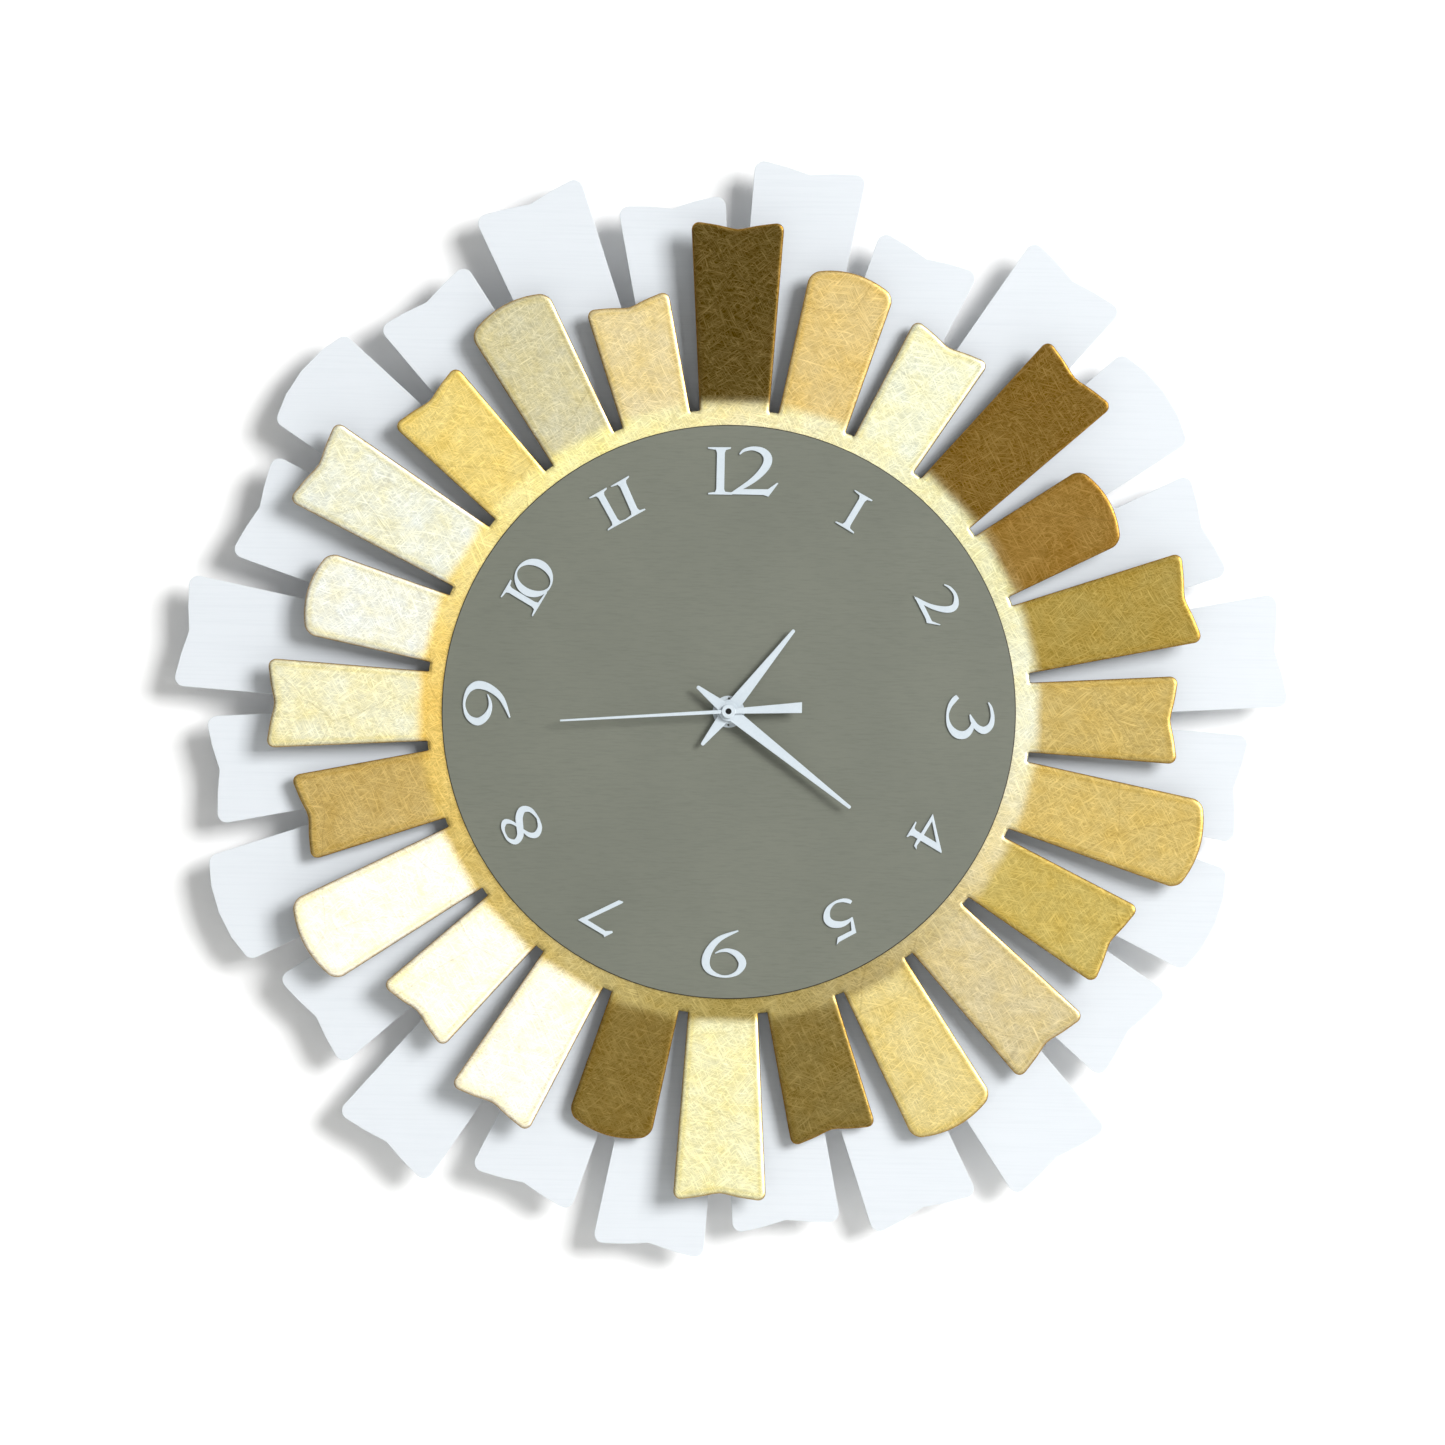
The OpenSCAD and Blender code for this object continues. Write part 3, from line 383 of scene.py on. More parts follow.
@dataclass(frozen=True)
class ShrinkSleeve:
    """The battery's plain film sleeve: glossy dark green with one warm band at its positive end.

    Attributes:
        name: what the material is.
        colour: sRGB hex of the long part.
        band_colour: sRGB hex of the band.
        band_start: place along X, in metres, where the band starts.
        step_mm: width of the line between the two.
        wrinkle_mm: size of the film's wrinkles.
        relief_mm: height of the wrinkles.
    """

    name: str
    colour: str
    band_colour: str
    band_start: float
    step_mm: float = 0.1
    wrinkle_mm: float = 6.0
    relief_mm: float = 0.06

    def material(self) -> Material:
        """Builds the material: a two-tone step along X under a film's gloss, faintly wrinkled."""
        material, tree = new_material(self.name)
        place = add_node(tree, "TexCoord").outputs["Object"]
        along = add_node(tree, "SeparateXYZ", links={"Vector": place}).outputs["X"]
        settings = {"From Min": self.band_start, "From Max": self.band_start + self.step_mm * MM}
        step = add_node(tree, "MapRange", settings, {"Value": along}).outputs["Result"]
        settings = NORMAL_MIX | {UNDER: linear(self.colour), OVER: linear(self.band_colour)}
        colour = add_node(tree, "Mix", settings, {SHARE: step}).outputs[MIXED]
        settings = {"Scale": cycles_per_metre(self.wrinkle_mm), "Detail": 3.0}
        wrinkles = add_node(tree, "TexNoise", settings, {"Vector": place}).outputs["Fac"]
        settings = {"Strength": 0.5, "Distance": self.relief_mm * MM}
        normal = add_node(tree, "Bump", settings, {"Height": wrinkles}).outputs["Normal"]
        settings = {"Metallic": 0.25, "Roughness": 0.22, "IOR": 1.5}
        links = {"Base Color": colour, "Normal": normal}
        shader = add_node(tree, "BsdfPrincipled", settings, links)
        add_node(tree, "OutputMaterial", links={"Surface": shader.outputs["BSDF"]})
        return material


# Powder-coated sheet with fine level brushing under the coat: an icy white with faint lines across.
WHITE_ENAMEL = Finish(
    "white_enamel_brushed_sheet", "#dadfe4", "#ced4da", roughness=0.42, tooling=Tooling.BRUSHED_ACROSS,
    grain_mm=1.3, grain_depth_mm=0.012, mottle_mm=120.0, mottling=0.15,
)
# Satin lacquer over brushed sheet: a warm grey dial that shows fine level lines and slow clouds.
TAUPE_ENAMEL = Finish(
    "taupe_enamel_brushed_sheet", "#6b6e62", "#595d53", roughness=0.5, tooling=Tooling.SANDED_ACROSS,
    grain_mm=0.9, grain_depth_mm=0.012, mottle_mm=60.0, mottling=0.3,
)
# Sprayed satin lacquer on cut parts: clean bluish white with crisp lit edges.
WHITE_LACQUER = Finish(
    "white_lacquer_sprayed", "#c9d3da", "#bac6cf", roughness=0.35, grain_mm=1.5, grain_depth_mm=0.006,
    mottle_mm=20.0, mottling=0.2,
)
# Painted shade on the dial's cut edge: brown-black, a thin dark line between the dial and the gilded ring
# where the edge stands in shadow.
PAINTED_EDGE_SHADE = Finish(
    "painted_shade_dial_edge", "#2a231a", "#1a1510", roughness=0.6, grain_mm=1.0, grain_depth_mm=0.02,
    mottle_mm=8.0,
)
# Burnished and blackened steel at the end of the seconds arbor, deep in its boss: painted shade that
# stands for the dark hole there.
PAINTED_HOLE_SHADE = Finish(
    "painted_shade_hole_cup", "#0b0b0c", "#151515", metallic=0.4, roughness=0.7, grain_mm=0.4,
    grain_depth_mm=0.01, mottle_mm=1.0,
)
# Bright zinc on pressed steel: cool grey with cloudy passivation.
ZINC_STEEL = Finish(
    "zinc_plated_pressed_steel", "#b9bcbd", "#8d9094", metallic=1.0, roughness=0.36, grain_mm=1.4,
    grain_depth_mm=0.01, mottle_mm=9.0, mottling=0.6, tooling=Tooling.BRUSHED_UP,
)
# Nickel on spring strip: a warmer, smoother silver.
NICKEL_PLATE = Finish(
    "nickel_plated_spring_strip", "#c9c4b8", "#a39d90", metallic=1.0, roughness=0.22, grain_mm=0.8,
    grain_depth_mm=0.004, mottle_mm=6.0, mottling=0.3,
)
# Turned and cut brass: yellow, with tool lines in depth.
CUT_BRASS = Finish(
    "cut_and_turned_brass", "#d2ab5a", "#a9823a", metallic=1.0, roughness=0.28, grain_mm=0.5,
    grain_depth_mm=0.005, mottle_mm=5.0, mottling=0.4, tooling=Tooling.DRAWN_IN_DEPTH,
)
# Sintered magnet, ground: dark grey with a fine grit.
ROTOR_MAGNET = Finish(
    "ground_ferrite_magnet", "#4a4a4d", "#2f2f32", metallic=0.6, roughness=0.45, grain_mm=0.4,
    grain_depth_mm=0.01, mottle_mm=3.0,
)
# Moulded ABS with a spark-eroded face: black, matt, a fine grit that breaks up highlights.
BLACK_ABS = Finish(
    "moulded_black_abs", "#1d1d1f", "#2b2b2e", roughness=0.5, grain_mm=0.9, grain_depth_mm=0.03,
    mottle_mm=15.0, mottling=0.3,
)
# Glass-fibre board under solder mask: green, glossy, with the weave just showing.
CIRCUIT_LAMINATE = Finish(
    "solder_masked_laminate", "#1f5a35", "#16452a", roughness=0.3, grain_mm=0.7, grain_depth_mm=0.01,
    mottle_mm=5.0, mottling=0.4,
)
# Enamelled winding wire: red copper under clear varnish.
COPPER_WIRE = Finish(
    "enamelled_copper_wire", "#b8602c", "#8a4119", metallic=1.0, roughness=0.3, grain_mm=0.5,
    grain_depth_mm=0.006, mottle_mm=4.0, coat=0.6,
)
# Pale painted floor of the studio: matt, with a soft broad grain.
STUDIO_FLOOR = Finish("pale_studio_floor", "#e9e9e7", "#dededc", roughness=0.7, grain_mm=6.0)
# Wool felt on the studio's flag: black and dull, so that it only darkens a reflection.
BLACK_FELT = Finish("black_felt", "#0c0c0c", "#060606", roughness=0.9, grain_mm=3.0)
# Moulded nitrile rubber: near black, dull, slightly dusty.
RUBBER = Finish(
    "moulded_rubber", "#262626", "#3a3a38", roughness=0.8, grain_mm=0.8, grain_depth_mm=0.04,
    mottle_mm=6.0, mottling=0.5,
)


# ---- Meshes ------------------------------------------------------


def new_piece(name: str, vertices: Array, faces: Array, sharp: float = SHARP_ANGLE) -> Piece:
    """Makes an object at the origin from arrays.

    Args:
        name: the piece's name.
        vertices: n by 3 places in metres.
        faces: m by 4 vertex numbers, anticlockwise from outside.
        sharp: the angle between faces above which an edge stays crisp.

    Returns:
        The object, linked to the scene and smooth shaded.
    """
    mesh = bpy.data.meshes.new(name)
    mesh.from_pydata(vertices.tolist(), [], faces.tolist())
    mesh.validate()
    smooth(mesh, sharp)
    piece = bpy.data.objects.new(name, mesh)
    bpy.context.scene.collection.objects.link(piece)
    return piece


def smooth(mesh: Mesh, sharp: float = SHARP_ANGLE) -> None:
    """Shades a mesh smooth, with crisp edges above the sharp angle."""
    mesh.polygons.foreach_set("use_smooth", np.ones(len(mesh.polygons), bool))
    mesh.set_sharp_from_angle(angle=sharp)
    mesh.update()


def slab(front: Array, back: Array, quads: Array) -> tuple[Array, Array]:
    """Closes a front surface and a back surface of the same plan with a wall along their border.

    An edge that only one quad uses is on the border, and each border edge gets one wall quad between the
    front and the back copy of its two ends, in the order that turns the wall outwards.

    Args:
        front: n by 3 front vertices.
        back: n by 3 back vertices, in the same order.
        quads: m by 4 vertex numbers of the front, anticlockwise from outside.

    Returns:
        All vertices and all faces of the closed solid.
    """
    count = len(front)
    edges = np.concatenate([quads[:, [i, (i + 1) % 4]] for i in range(4)])
    keys = np.sort(edges, axis=1) @ np.array([count, 1])
    _, first, uses = np.unique(keys, return_index=True, return_counts=True)
    border = edges[first[uses == 1]]
    wall = np.stack([border[:, 1], border[:, 0], border[:, 0] + count, border[:, 1] + count], axis=1)
    faces = np.concatenate([quads, quads[:, ::-1] + count, wall])
    return np.concatenate([front, back]), faces


def grid_quads(numbers: Array) -> Array:
    """Quads between neighbours of a rows by columns grid of vertex numbers, one turn direction for all."""
    corners = (numbers[:-1, :-1], numbers[1:, :-1], numbers[1:, 1:], numbers[:-1, 1:])
    return np.stack(corners, axis=-1).reshape(-1, 4)


def edge_distance(points: Array, starts: Array, ends: Array) -> Array:
    """Distance from each point to the nearest of a set of straight border stretches.

    For each pair it drops the point onto the stretch, keeps the foot between the two ends, and takes the
    smallest of the lengths that result.

    Args:
        points: n by 2 places.
        starts: m by 2 starts of the stretches.
        ends: m by 2 ends of the stretches.

    Returns:
        n distances.
    """
    run = ends - starts
    length2 = np.maximum((run**2).sum(axis=1), 1e-12)
    offset = points[:, None, :] - starts[None]
    share = np.clip((offset * run).sum(axis=2) / length2, 0, 1)
    return np.sqrt(((offset - share[..., None] * run) ** 2).sum(axis=2)).min(axis=1)


def rounded_copy(node: str, name: str, radius_mm: float, frame: dict, segments: int = 2) -> Piece:
    """Copies a frame node, joins its loose triangles into whole faces and rounds its crisp edges.

    Args:
        node: the frame node's name.
        name: the new piece's name.
        radius_mm: the radius on its edges.
        segments: how many facets the rounding has.

    Returns:
        The new object at the origin.
    """
    mesh = frame["nodes"][node].data.copy()
    mesh.name = name
    mesh.materials.clear()
    work = bmesh.new()
    work.from_mesh(mesh)
    bmesh.ops.remove_doubles(work, verts=work.verts, dist=MERGE_DISTANCE)
    bmesh.ops.dissolve_limit(work, angle_limit=FLAT_ANGLE, verts=work.verts, edges=work.edges)
    work.to_mesh(mesh)
    work.free()
    smooth(mesh, CREASE_ANGLE)
    piece = bpy.data.objects.new(name, mesh)
    bpy.context.scene.collection.objects.link(piece)
    bevel = piece.modifiers.new("rounding", "BEVEL")
    bevel.width = radius_mm * MM
    bevel.segments = segments
    bevel.limit_method = "ANGLE"
    bevel.angle_limit = CREASE_ANGLE
    bevel.use_clamp_overlap = True
    weighting = piece.modifiers.new("flat_faces", "WEIGHTED_NORMAL")
    weighting.weight = 100
    weighting.keep_sharp = True
    apply_modifiers(piece)
    return piece


def apply_modifiers(piece: Piece) -> None:
    """Bakes a piece's modifiers into its mesh."""
    graph = bpy.context.evaluated_depsgraph_get()
    mesh = bpy.data.meshes.new_from_object(piece.evaluated_get(graph))
    piece.modifiers.clear()
    piece.data = mesh


def turned_part(name: str, profile: Array, centre: Vector, turns: int = 64) -> Piece:
    """Turns a closed profile about an axis along Y.

    Each profile point (radius, depth) goes round the axis on a circle of that radius at that place along
    Y, and the last point joins the first, so the ring of faces is closed.

    Args:
        name: the piece's name.
        profile: n by 2 array of radius and Y place in metres, in order round the section.
        centre: a point on the axis.
        turns: how many steps go round.

    Returns:
        The new object.
    """
    angle = np.linspace(0, 2 * np.pi, turns, endpoint=False)
    radius, depth = profile[:, 0], profile[:, 1]
    x = centre.x + radius[None] * np.cos(angle)[:, None]
    z = centre.z + radius[None] * np.sin(angle)[:, None]
    y = np.broadcast_to(depth[None], x.shape)
    vertices = np.stack([x, y, z], axis=-1).reshape(-1, 3)
    numbers = np.arange(len(vertices)).reshape(turns, -1)
    closed = np.pad(numbers, ((0, 1), (0, 1)), mode="wrap")
    piece = new_piece(name, vertices, grid_quads(closed))
    outward(piece.data)
    return piece


def outward(mesh: Mesh) -> None:
    """Turns every face of a closed mesh to face outwards."""
    work = bmesh.new()
    work.from_mesh(mesh)
    bmesh.ops.recalc_face_normals(work, faces=work.faces)
    work.to_mesh(mesh)
    work.free()
    mesh.update()


def dress(piece: Piece, material: Material) -> None:
    """Gives a piece one material."""
    piece.data.materials.clear()
    piece.data.materials.append(material)


# ---- The gilded burst --------------------------------------------


@dataclass
class GoldBurst:
    """The gilded plate: a ring with 24 rays, each bent a little at its root and soft at its edges.

    Lengths are in millimetres and angles in degrees. Ray k stands at k times 15 degrees clockwise from
    12, share holds its length as a share of ray_len, bend its bend forwards, and tones its leaf's tone
    with
    painted reflection in it: the light or dark that the bent leaf would reflect, from near black to near
    white.
    The ring's tones stand at the hours and are darker at the bottom as painted shade. A tone times the
    primer share is the dark primer's colour at the back, which also runs up the side walls as painted
    shade on the edges.
    Places along a ray's root and tip are given from the ring and from the tip. A notch's knee is a place
    from the middle and a depth, as shares of the half width and of notch_depth.
    """

    material: Material
    rays: int = 24
    ring_r: float = 162.0
    ring_radii: tuple[float, ...] = (
        4.3, 30, 75, 115, 140, 150, 153, 155.5, 157.5, 159, 160.2, 161.2, 162.0,
    )
    slot_steps: int = 3
    root_rows: tuple[float, ...] = (0.0, 0.8, 1.7, 2.8, 4.2, 6.0, 8.5)
    tip_rows: tuple[float, ...] = (7.0, 4.6, 3.2, 2.3, 1.5, 0.85, 0.38, 0.1, 0.0)
    middle_rows: int = 11
    corner_columns: int = 9
    middle_columns: int = 6
    thickness: float = 2.0
    ray_len: float = 101.0
    root_w: float = 37.5
    flare: float = 0.124
    notch_depth: float = 5.0
    notch_side: float = 0.6
    notch_knee: tuple[float, float] = (0.42, 0.52)
    notch_soft: float = 0.11
    arch_rise: float = 6.0
    corner_r: float = 5.0
    rim_w: float = 1.7
    rim_slope: float = 0.22
    edge_w: float = 0.6
    edge_drop: float = 0.4
    bend_run: float = 3.0
    usual_share: float = 0.85
    share: tuple[float, ...] = (
        1.00, 0.81, 0.70, 0.99, 0.70, 0.93, 0.78, 0.99, 0.80, 0.87, 0.90, 0.72,
        0.99, 0.73, 0.86, 0.73, 0.96, 0.74, 0.85, 0.72, 0.98, 0.73, 0.86, 0.65,
    )
    bend: tuple[float, ...] = (
        5, 2, -2.5, 4, 4.5, 3.5, 1.5, 1.5, 3, 0, -1, -3, 3.5, -3, 4.5, 5, 4.5, -2.5, 3, 3, 3.5, 1.5, 1, 1,
    )
    # Each ray's leaf tone with painted reflection in it: near black to near white, as the bent leaf would
    # reflect the room.
    tones: tuple[str, ...] = (
        "#4e3f18", "#c4ae78", "#c7cab8", "#6e5522", "#866830", "#998545", "#af9b62", "#b8a366",
        "#b19f5c", "#baae8b", "#c7b881", "#736335", "#d3d1ad", "#766331", "#e2e0d6", "#e0ded2",
        "#e2e0d6", "#b9a166", "#cecdb4", "#d1d4cf", "#ccd0c9", "#cfbc77", "#b9b59a", "#c9bb93",
    )
    # The ring's leaf tones at the hours, darker at the bottom as painted shade.
    ring_tones: tuple[str, ...] = (
        "#d1cba8", "#d2d1b2", "#c5c5a7", "#d1d2bf", "#c2b793", "#9a8d64",
        "#8f8048", "#b0a16d", "#bea968", "#d5b767", "#dccc8c", "#ddd8a0",
    )
    # Share of a tone at the back: dark primer, partly painted shade where it runs up the side walls.
    primer_and_shade_share: tuple[float, ...] = (0.17, 0.14, 0.1, 1.0)
    blend_run: float = 7.0
    # A faint olive band inside the rim: painted shade that stands for a groove there.
    band: tuple[float, ...] = (0.9, 0.84, 0.62, 1.0)
    groove_shade_strength: float = 0.75
    groove_shade_place: float = 2.9
    groove_shade_w: float = 1.1
    # A brown line at the very edge: partly wear, partly painted highlight on the dark rays' edges and
    # painted shade on the pale ones'.
    wear_and_edge_light: str = "#8e6c30"
    wear_and_edge_light_strength: float = 0.85
    wear_and_edge_light_w: float = 0.8

    def __post_init__(self) -> None:
        """Takes the arbor's place and the plate's front from the frame."""
        low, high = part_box("dial_plate")
        self.centre = (low + high) / 2
        self.front_y = high.y

    def across(self) -> Array:
        """Shares of the half width at which the columns of a ray stand, closest in the rounded corners."""
        half_tip = self.root_w / 2 + self.ray_len * self.usual_share * self.flare / 2
        turn = np.radians(np.linspace(0, 90, self.corner_columns))
        corner = 1 - self.corner_r * (1 - np.cos(turn)) / half_tip
        middle = np.linspace(corner[-1], 0, self.middle_columns + 1)[1:]
        right = np.concatenate([corner, middle])
        return np.concatenate([-right, right[::-1][1:]])

    def along(self) -> Array:
        """Shares of a ray's length at which its rows stand, close at the bend and at the tip."""
        root = np.array(self.root_rows) / self.ray_len
        tip = 1 - np.array(self.tip_rows) / self.ray_len
        return np.concatenate([root, np.linspace(root[-1], tip[0], self.middle_rows + 2)[1:-1], tip])

    def tip_line(self, share: Array, tip_r: float, half_tip: float, arched: bool) -> Array:
        """Height of the tip's outline over a ray's width.

        An arched tip is a parabola that falls arch_rise from the middle to the sides. A notched one
        falls in two straight flights from notch_side at the sides to notch_depth in the middle, averaged
        over a window of notch_soft each way so that its bends are round. Both then drop along a quarter
        circle at the corners.

        Args:
            share: distance from the middle as a share of the half width, signed.
            tip_r: radius of the highest point.
            half_tip: half the width at the tip.
            arched: whether the tip is arched rather than notched.

        Returns:
            The height for each share, as a radius.
        """
        s = np.abs(share)
        if arched:
            line = tip_r - self.arch_rise * s**2
        else:
            window = np.linspace(-self.notch_soft, self.notch_soft, 9)
            spread = np.abs(s[:, None] + window[None])
            place, share_deep = self.notch_knee
            depths = [self.notch_depth, share_deep * self.notch_depth, self.notch_side]
            flights = np.interp(spread, [0.0, place, 1.0], depths)
            line = tip_r - flights.mean(axis=1)
        inside = np.clip(s * half_tip - (half_tip - self.corner_r), 0, self.corner_r)
        return line - (self.corner_r - np.sqrt(np.maximum(self.corner_r**2 - inside**2, 0)))

    def ray_plan(self, k: int) -> Array:
        """Plan of ray k before it is turned to its place.

        Column u, row v: the height runs evenly from the ring's circle to the tip's line, and the half
        width grows with height by half the flare, so x is u times that half width.

        Args:
            k: the ray's number.

        Returns:
            rows by columns by 2 places, x across and y outwards from the arbor.
        """
        u = self.across()
        v = self.along()[:, None]
        tip_r = self.ring_r + self.ray_len * self.share[k]
        half_tip = self.root_w / 2 + (tip_r - self.ring_r) * self.flare / 2
        base = np.sqrt(self.ring_r**2 - (u * self.root_w / 2) ** 2)
        top = self.tip_line(u, tip_r, half_tip, k % 3 == 1)
        y = base + v * (top - base)
        x = u * (self.root_w / 2 + np.maximum(y - self.ring_r, 0) * self.flare / 2)
        return np.stack([x, y], axis=-1)

    def rim(self, distance: Array) -> Array:
        """How far the face has fallen at a distance from the nearest edge.

        A slope of rim_slope over rim_w, and a quarter ellipse over the last edge_w that falls edge_drop
        more.

        Args:
            distance: distances from the edge.

        Returns:
            The fall at each.
        """
        share = np.clip(1 - distance / self.edge_w, 0, 1)
        sloped = self.rim_slope * np.clip(self.rim_w - distance, 0, None)
        return sloped + self.edge_drop * (1 - np.sqrt(1 - share**2))

    def bent_ray(self, k: int) -> tuple[Array, Array, Array, Array, Array]:
        """Bends ray k along a line at its root and turns it to its place.

        Past the ring the sheet turns along an arc over bend_run and then runs straight. With that length
        L and the bend b it lifts by L sin b and draws in by L (1 - cos b).

        Args:
            k: the ray's number.

        Returns:
            Each point's place, lift, distance from the edge and length past the ring, and the way the
            face leans for each mm of thickness.
        """
        plan = self.ray_plan(k)
        border = np.concatenate([plan[:, 0], plan[-1, 1:-1], plan[::-1, -1]])
        distance = edge_distance(plan[1:].reshape(-1, 2), border[:-1], border[1:])
        excess = np.maximum(plan[1:, :, 1] - self.ring_r, 0)
        curved, straight = excess**2 / (2 * self.bend_run), excess - self.bend_run / 2
        length = np.where(excess < self.bend_run, curved, straight)
        angle = math.radians(self.bend[k])
        pulled = plan[1:].copy()
        pulled[..., 1] -= length * (1 - math.cos(angle))
        heading = k * np.radians(360 / self.rays)
        outwards = np.array([math.sin(heading), math.cos(heading)])
        sideways = np.array([math.cos(heading), -math.sin(heading)])
        places = pulled[..., :1] * sideways + pulled[..., 1:] * outwards
        return places, length * math.sin(angle), distance, excess, -outwards * math.sin(angle)

    def build(self) -> Piece:
        """Builds the plate as one closed mesh with its leaf tones and their painted reflection and shade,
        in place of the frame's plate.

        Returns:
            The gilded burst.
        """
        u = self.across()
        radii = np.array(self.ring_radii)[:, None]
        sector = np.radians(360 / self.rays)
        root_angle = np.arcsin(u * self.root_w / 2 / self.ring_r)
        slot = np.linspace(root_angle[-1], sector + root_angle[0], self.slot_steps + 2)[1:-1]
        ring_angle = np.concatenate([root_angle, slot])
        columns = len(ring_angle)
        turn = ((np.arange(self.rays) * sector)[:, None] + ring_angle[None]).reshape(-1)
        ring = np.stack([radii * np.sin(turn)[None], radii * np.cos(turn)[None]], axis=-1)
        ring_numbers = np.arange(ring.shape[0] * ring.shape[1]).reshape(ring.shape[:2])
        next_number = ring_numbers.size

        quads = [grid_quads(np.pad(ring_numbers, ((0, 0), (0, 1)), mode="wrap"))]
        plans, lifts, leans = [ring.reshape(-1, 2)], [np.zeros(next_number)], [np.zeros((next_number, 2))]
        tints = [self.ring_tint(np.arctan2(ring[..., 0], ring[..., 1])).reshape(-1, 4)]
        falls = [self.rim(self.ring_edge(ring.reshape(-1, 2), ring[-1], columns, len(u)))]
        for k in range(self.rays):
            places, lift, distance, excess, lean = self.bent_ray(k)
            numbers = next_number + np.arange(lift.size).reshape(lift.shape)
            root = ring_numbers[-1:, k * columns : k * columns + len(u)]
            quads.append(grid_quads(np.concatenate([root, numbers])))
            next_number += numbers.size
            plans.append(places.reshape(-1, 2))
            lifts.append(lift.reshape(-1))
            leans.append(np.broadcast_to(lean, (numbers.size, 2)))
            falls.append(self.rim(distance))
            tints.append(self.ray_tint(k, excess, places, distance))
        plan, lift, lean, fall = (np.concatenate(part) for part in (plans, lifts, leans, falls))
        front = self.placed(plan + lean * (self.thickness - fall)[:, None], self.thickness + lift - fall)
        vertices, faces = slab(front, self.placed(plan, lift), np.concatenate(quads))
        piece = new_piece("gilded_burst", vertices, faces, RIM_ANGLE)
        tint = np.concatenate(tints)
        # The back gets the dark primer tone, and the side walls run into it: partly the primer, partly
        # painted shade on the edges and in the slots.
        tint = np.concatenate([tint, tint * np.array(self.primer_and_shade_share)])
        colours = piece.data.color_attributes.new(GoldLeaf.tint, "FLOAT_COLOR", "POINT")
        colours.data.foreach_set("color", tint.astype(np.float32).ravel())
        outward(piece.data)
        return finished(piece, self.material, "root", "gold_leaf", "front_sunburst")

    def placed(self, plan: Array, depth: Array) -> Array:
        """Puts plan places in mm and depths in front of the plate's back into the frame, in metres."""
        x = self.centre.x + plan[:, 0] * MM
        z = self.centre.z + plan[:, 1] * MM
        y = self.front_y + self.thickness * MM - depth * MM
        return np.stack([x, y, z], axis=-1)

    def ring_edge(self, points: Array, rim_points: Array, columns: int, root_columns: int) -> Array:
        """Distance from each ring point to the nearest slot root, which is the ring's only open edge.

        Args:
            points: the ring's places.
            rim_points: the ring's outer circle, in order.
            columns: how many columns one sector has.
            root_columns: how many of them belong to the ray.

        Returns:
            The distances, large where no slot is near.
        """
        number = np.arange(len(rim_points))
        in_slot = (number % columns) >= root_columns - 1
        starts, ends = rim_points[in_slot], np.roll(rim_points, -1, axis=0)[in_slot]
        distance = np.full(len(points), self.ring_r)
        near = np.hypot(points[:, 0], points[:, 1]) > self.ring_r - 2 * self.rim_w
        distance[near] = edge_distance(points[near], starts, ends)
        return distance

    def ring_tint(self, heading: Array) -> Array:
        """Tone of the ring's leaf with its painted shade at each heading, running between the twelve tones
        round the clock.
        """
        tones = np.array([linear(c) for c in self.ring_tones])
        hours = np.mod(np.degrees(heading) / 30, 12)
        steps = np.arange(13)
        wrapped = np.concatenate([tones, tones[:1]])
        return np.stack([np.interp(hours, steps, wrapped[:, i]) for i in range(4)], axis=-1)

    def ray_tint(self, k: int, excess: Array, placed: Array, distance: Array) -> Array:
        """Tone of ray k's leaf, with its painted reflection, shade and edge highlight.

        It runs from the ring's tone at the root to the ray's own over blend_run, on a smooth step,
        because the sheets overlap there. A thin brown line at the very edge is partly wear and partly
        painted
        edge light: it brightens the dark rays' edges as painted highlight and darkens the pale rays' edges
        as painted shade. A faint olive band beside it is painted shade that stands for a groove inside the
        rim.
        Each is as strong as a bell curve of the distance.

        Args:
            k: the ray's number.
            excess: how far past the ring's edge each point is.
            placed: where each point is.
            distance: how far each point is from the ray's edge.

        Returns:
            n by 4 colours.
        """
        share = np.clip(excess / self.blend_run, 0, 1)
        weight = (share**2 * (3 - 2 * share)).reshape(-1, 1)
        ring = self.ring_tint(np.arctan2(placed[..., 0], placed[..., 1])).reshape(-1, 4)
        laid = ring * (1 - weight) + np.array(linear(self.tones[k])) * weight
        # Painted shade: the olive band inside the rim.
        band = self.groove_shade_strength * np.exp(-(((distance - self.groove_shade_place) / self.groove_shade_w) ** 2))
        # At the very edge: partly wear, partly painted highlight on dark rays and painted shade on pale
        # ones.
        wear_and_edge_light = self.wear_and_edge_light_strength * np.exp(-((distance / self.wear_and_edge_light_w) ** 2))[:, None]
        groove_shaded = laid * (1 - band[:, None] * (1 - np.array(self.band)))
        return groove_shaded * (1 - wear_and_edge_light) + np.array(linear(self.wear_and_edge_light)) * wear_and_edge_light


# ---- Dial, hands and white burst ---------------------------------


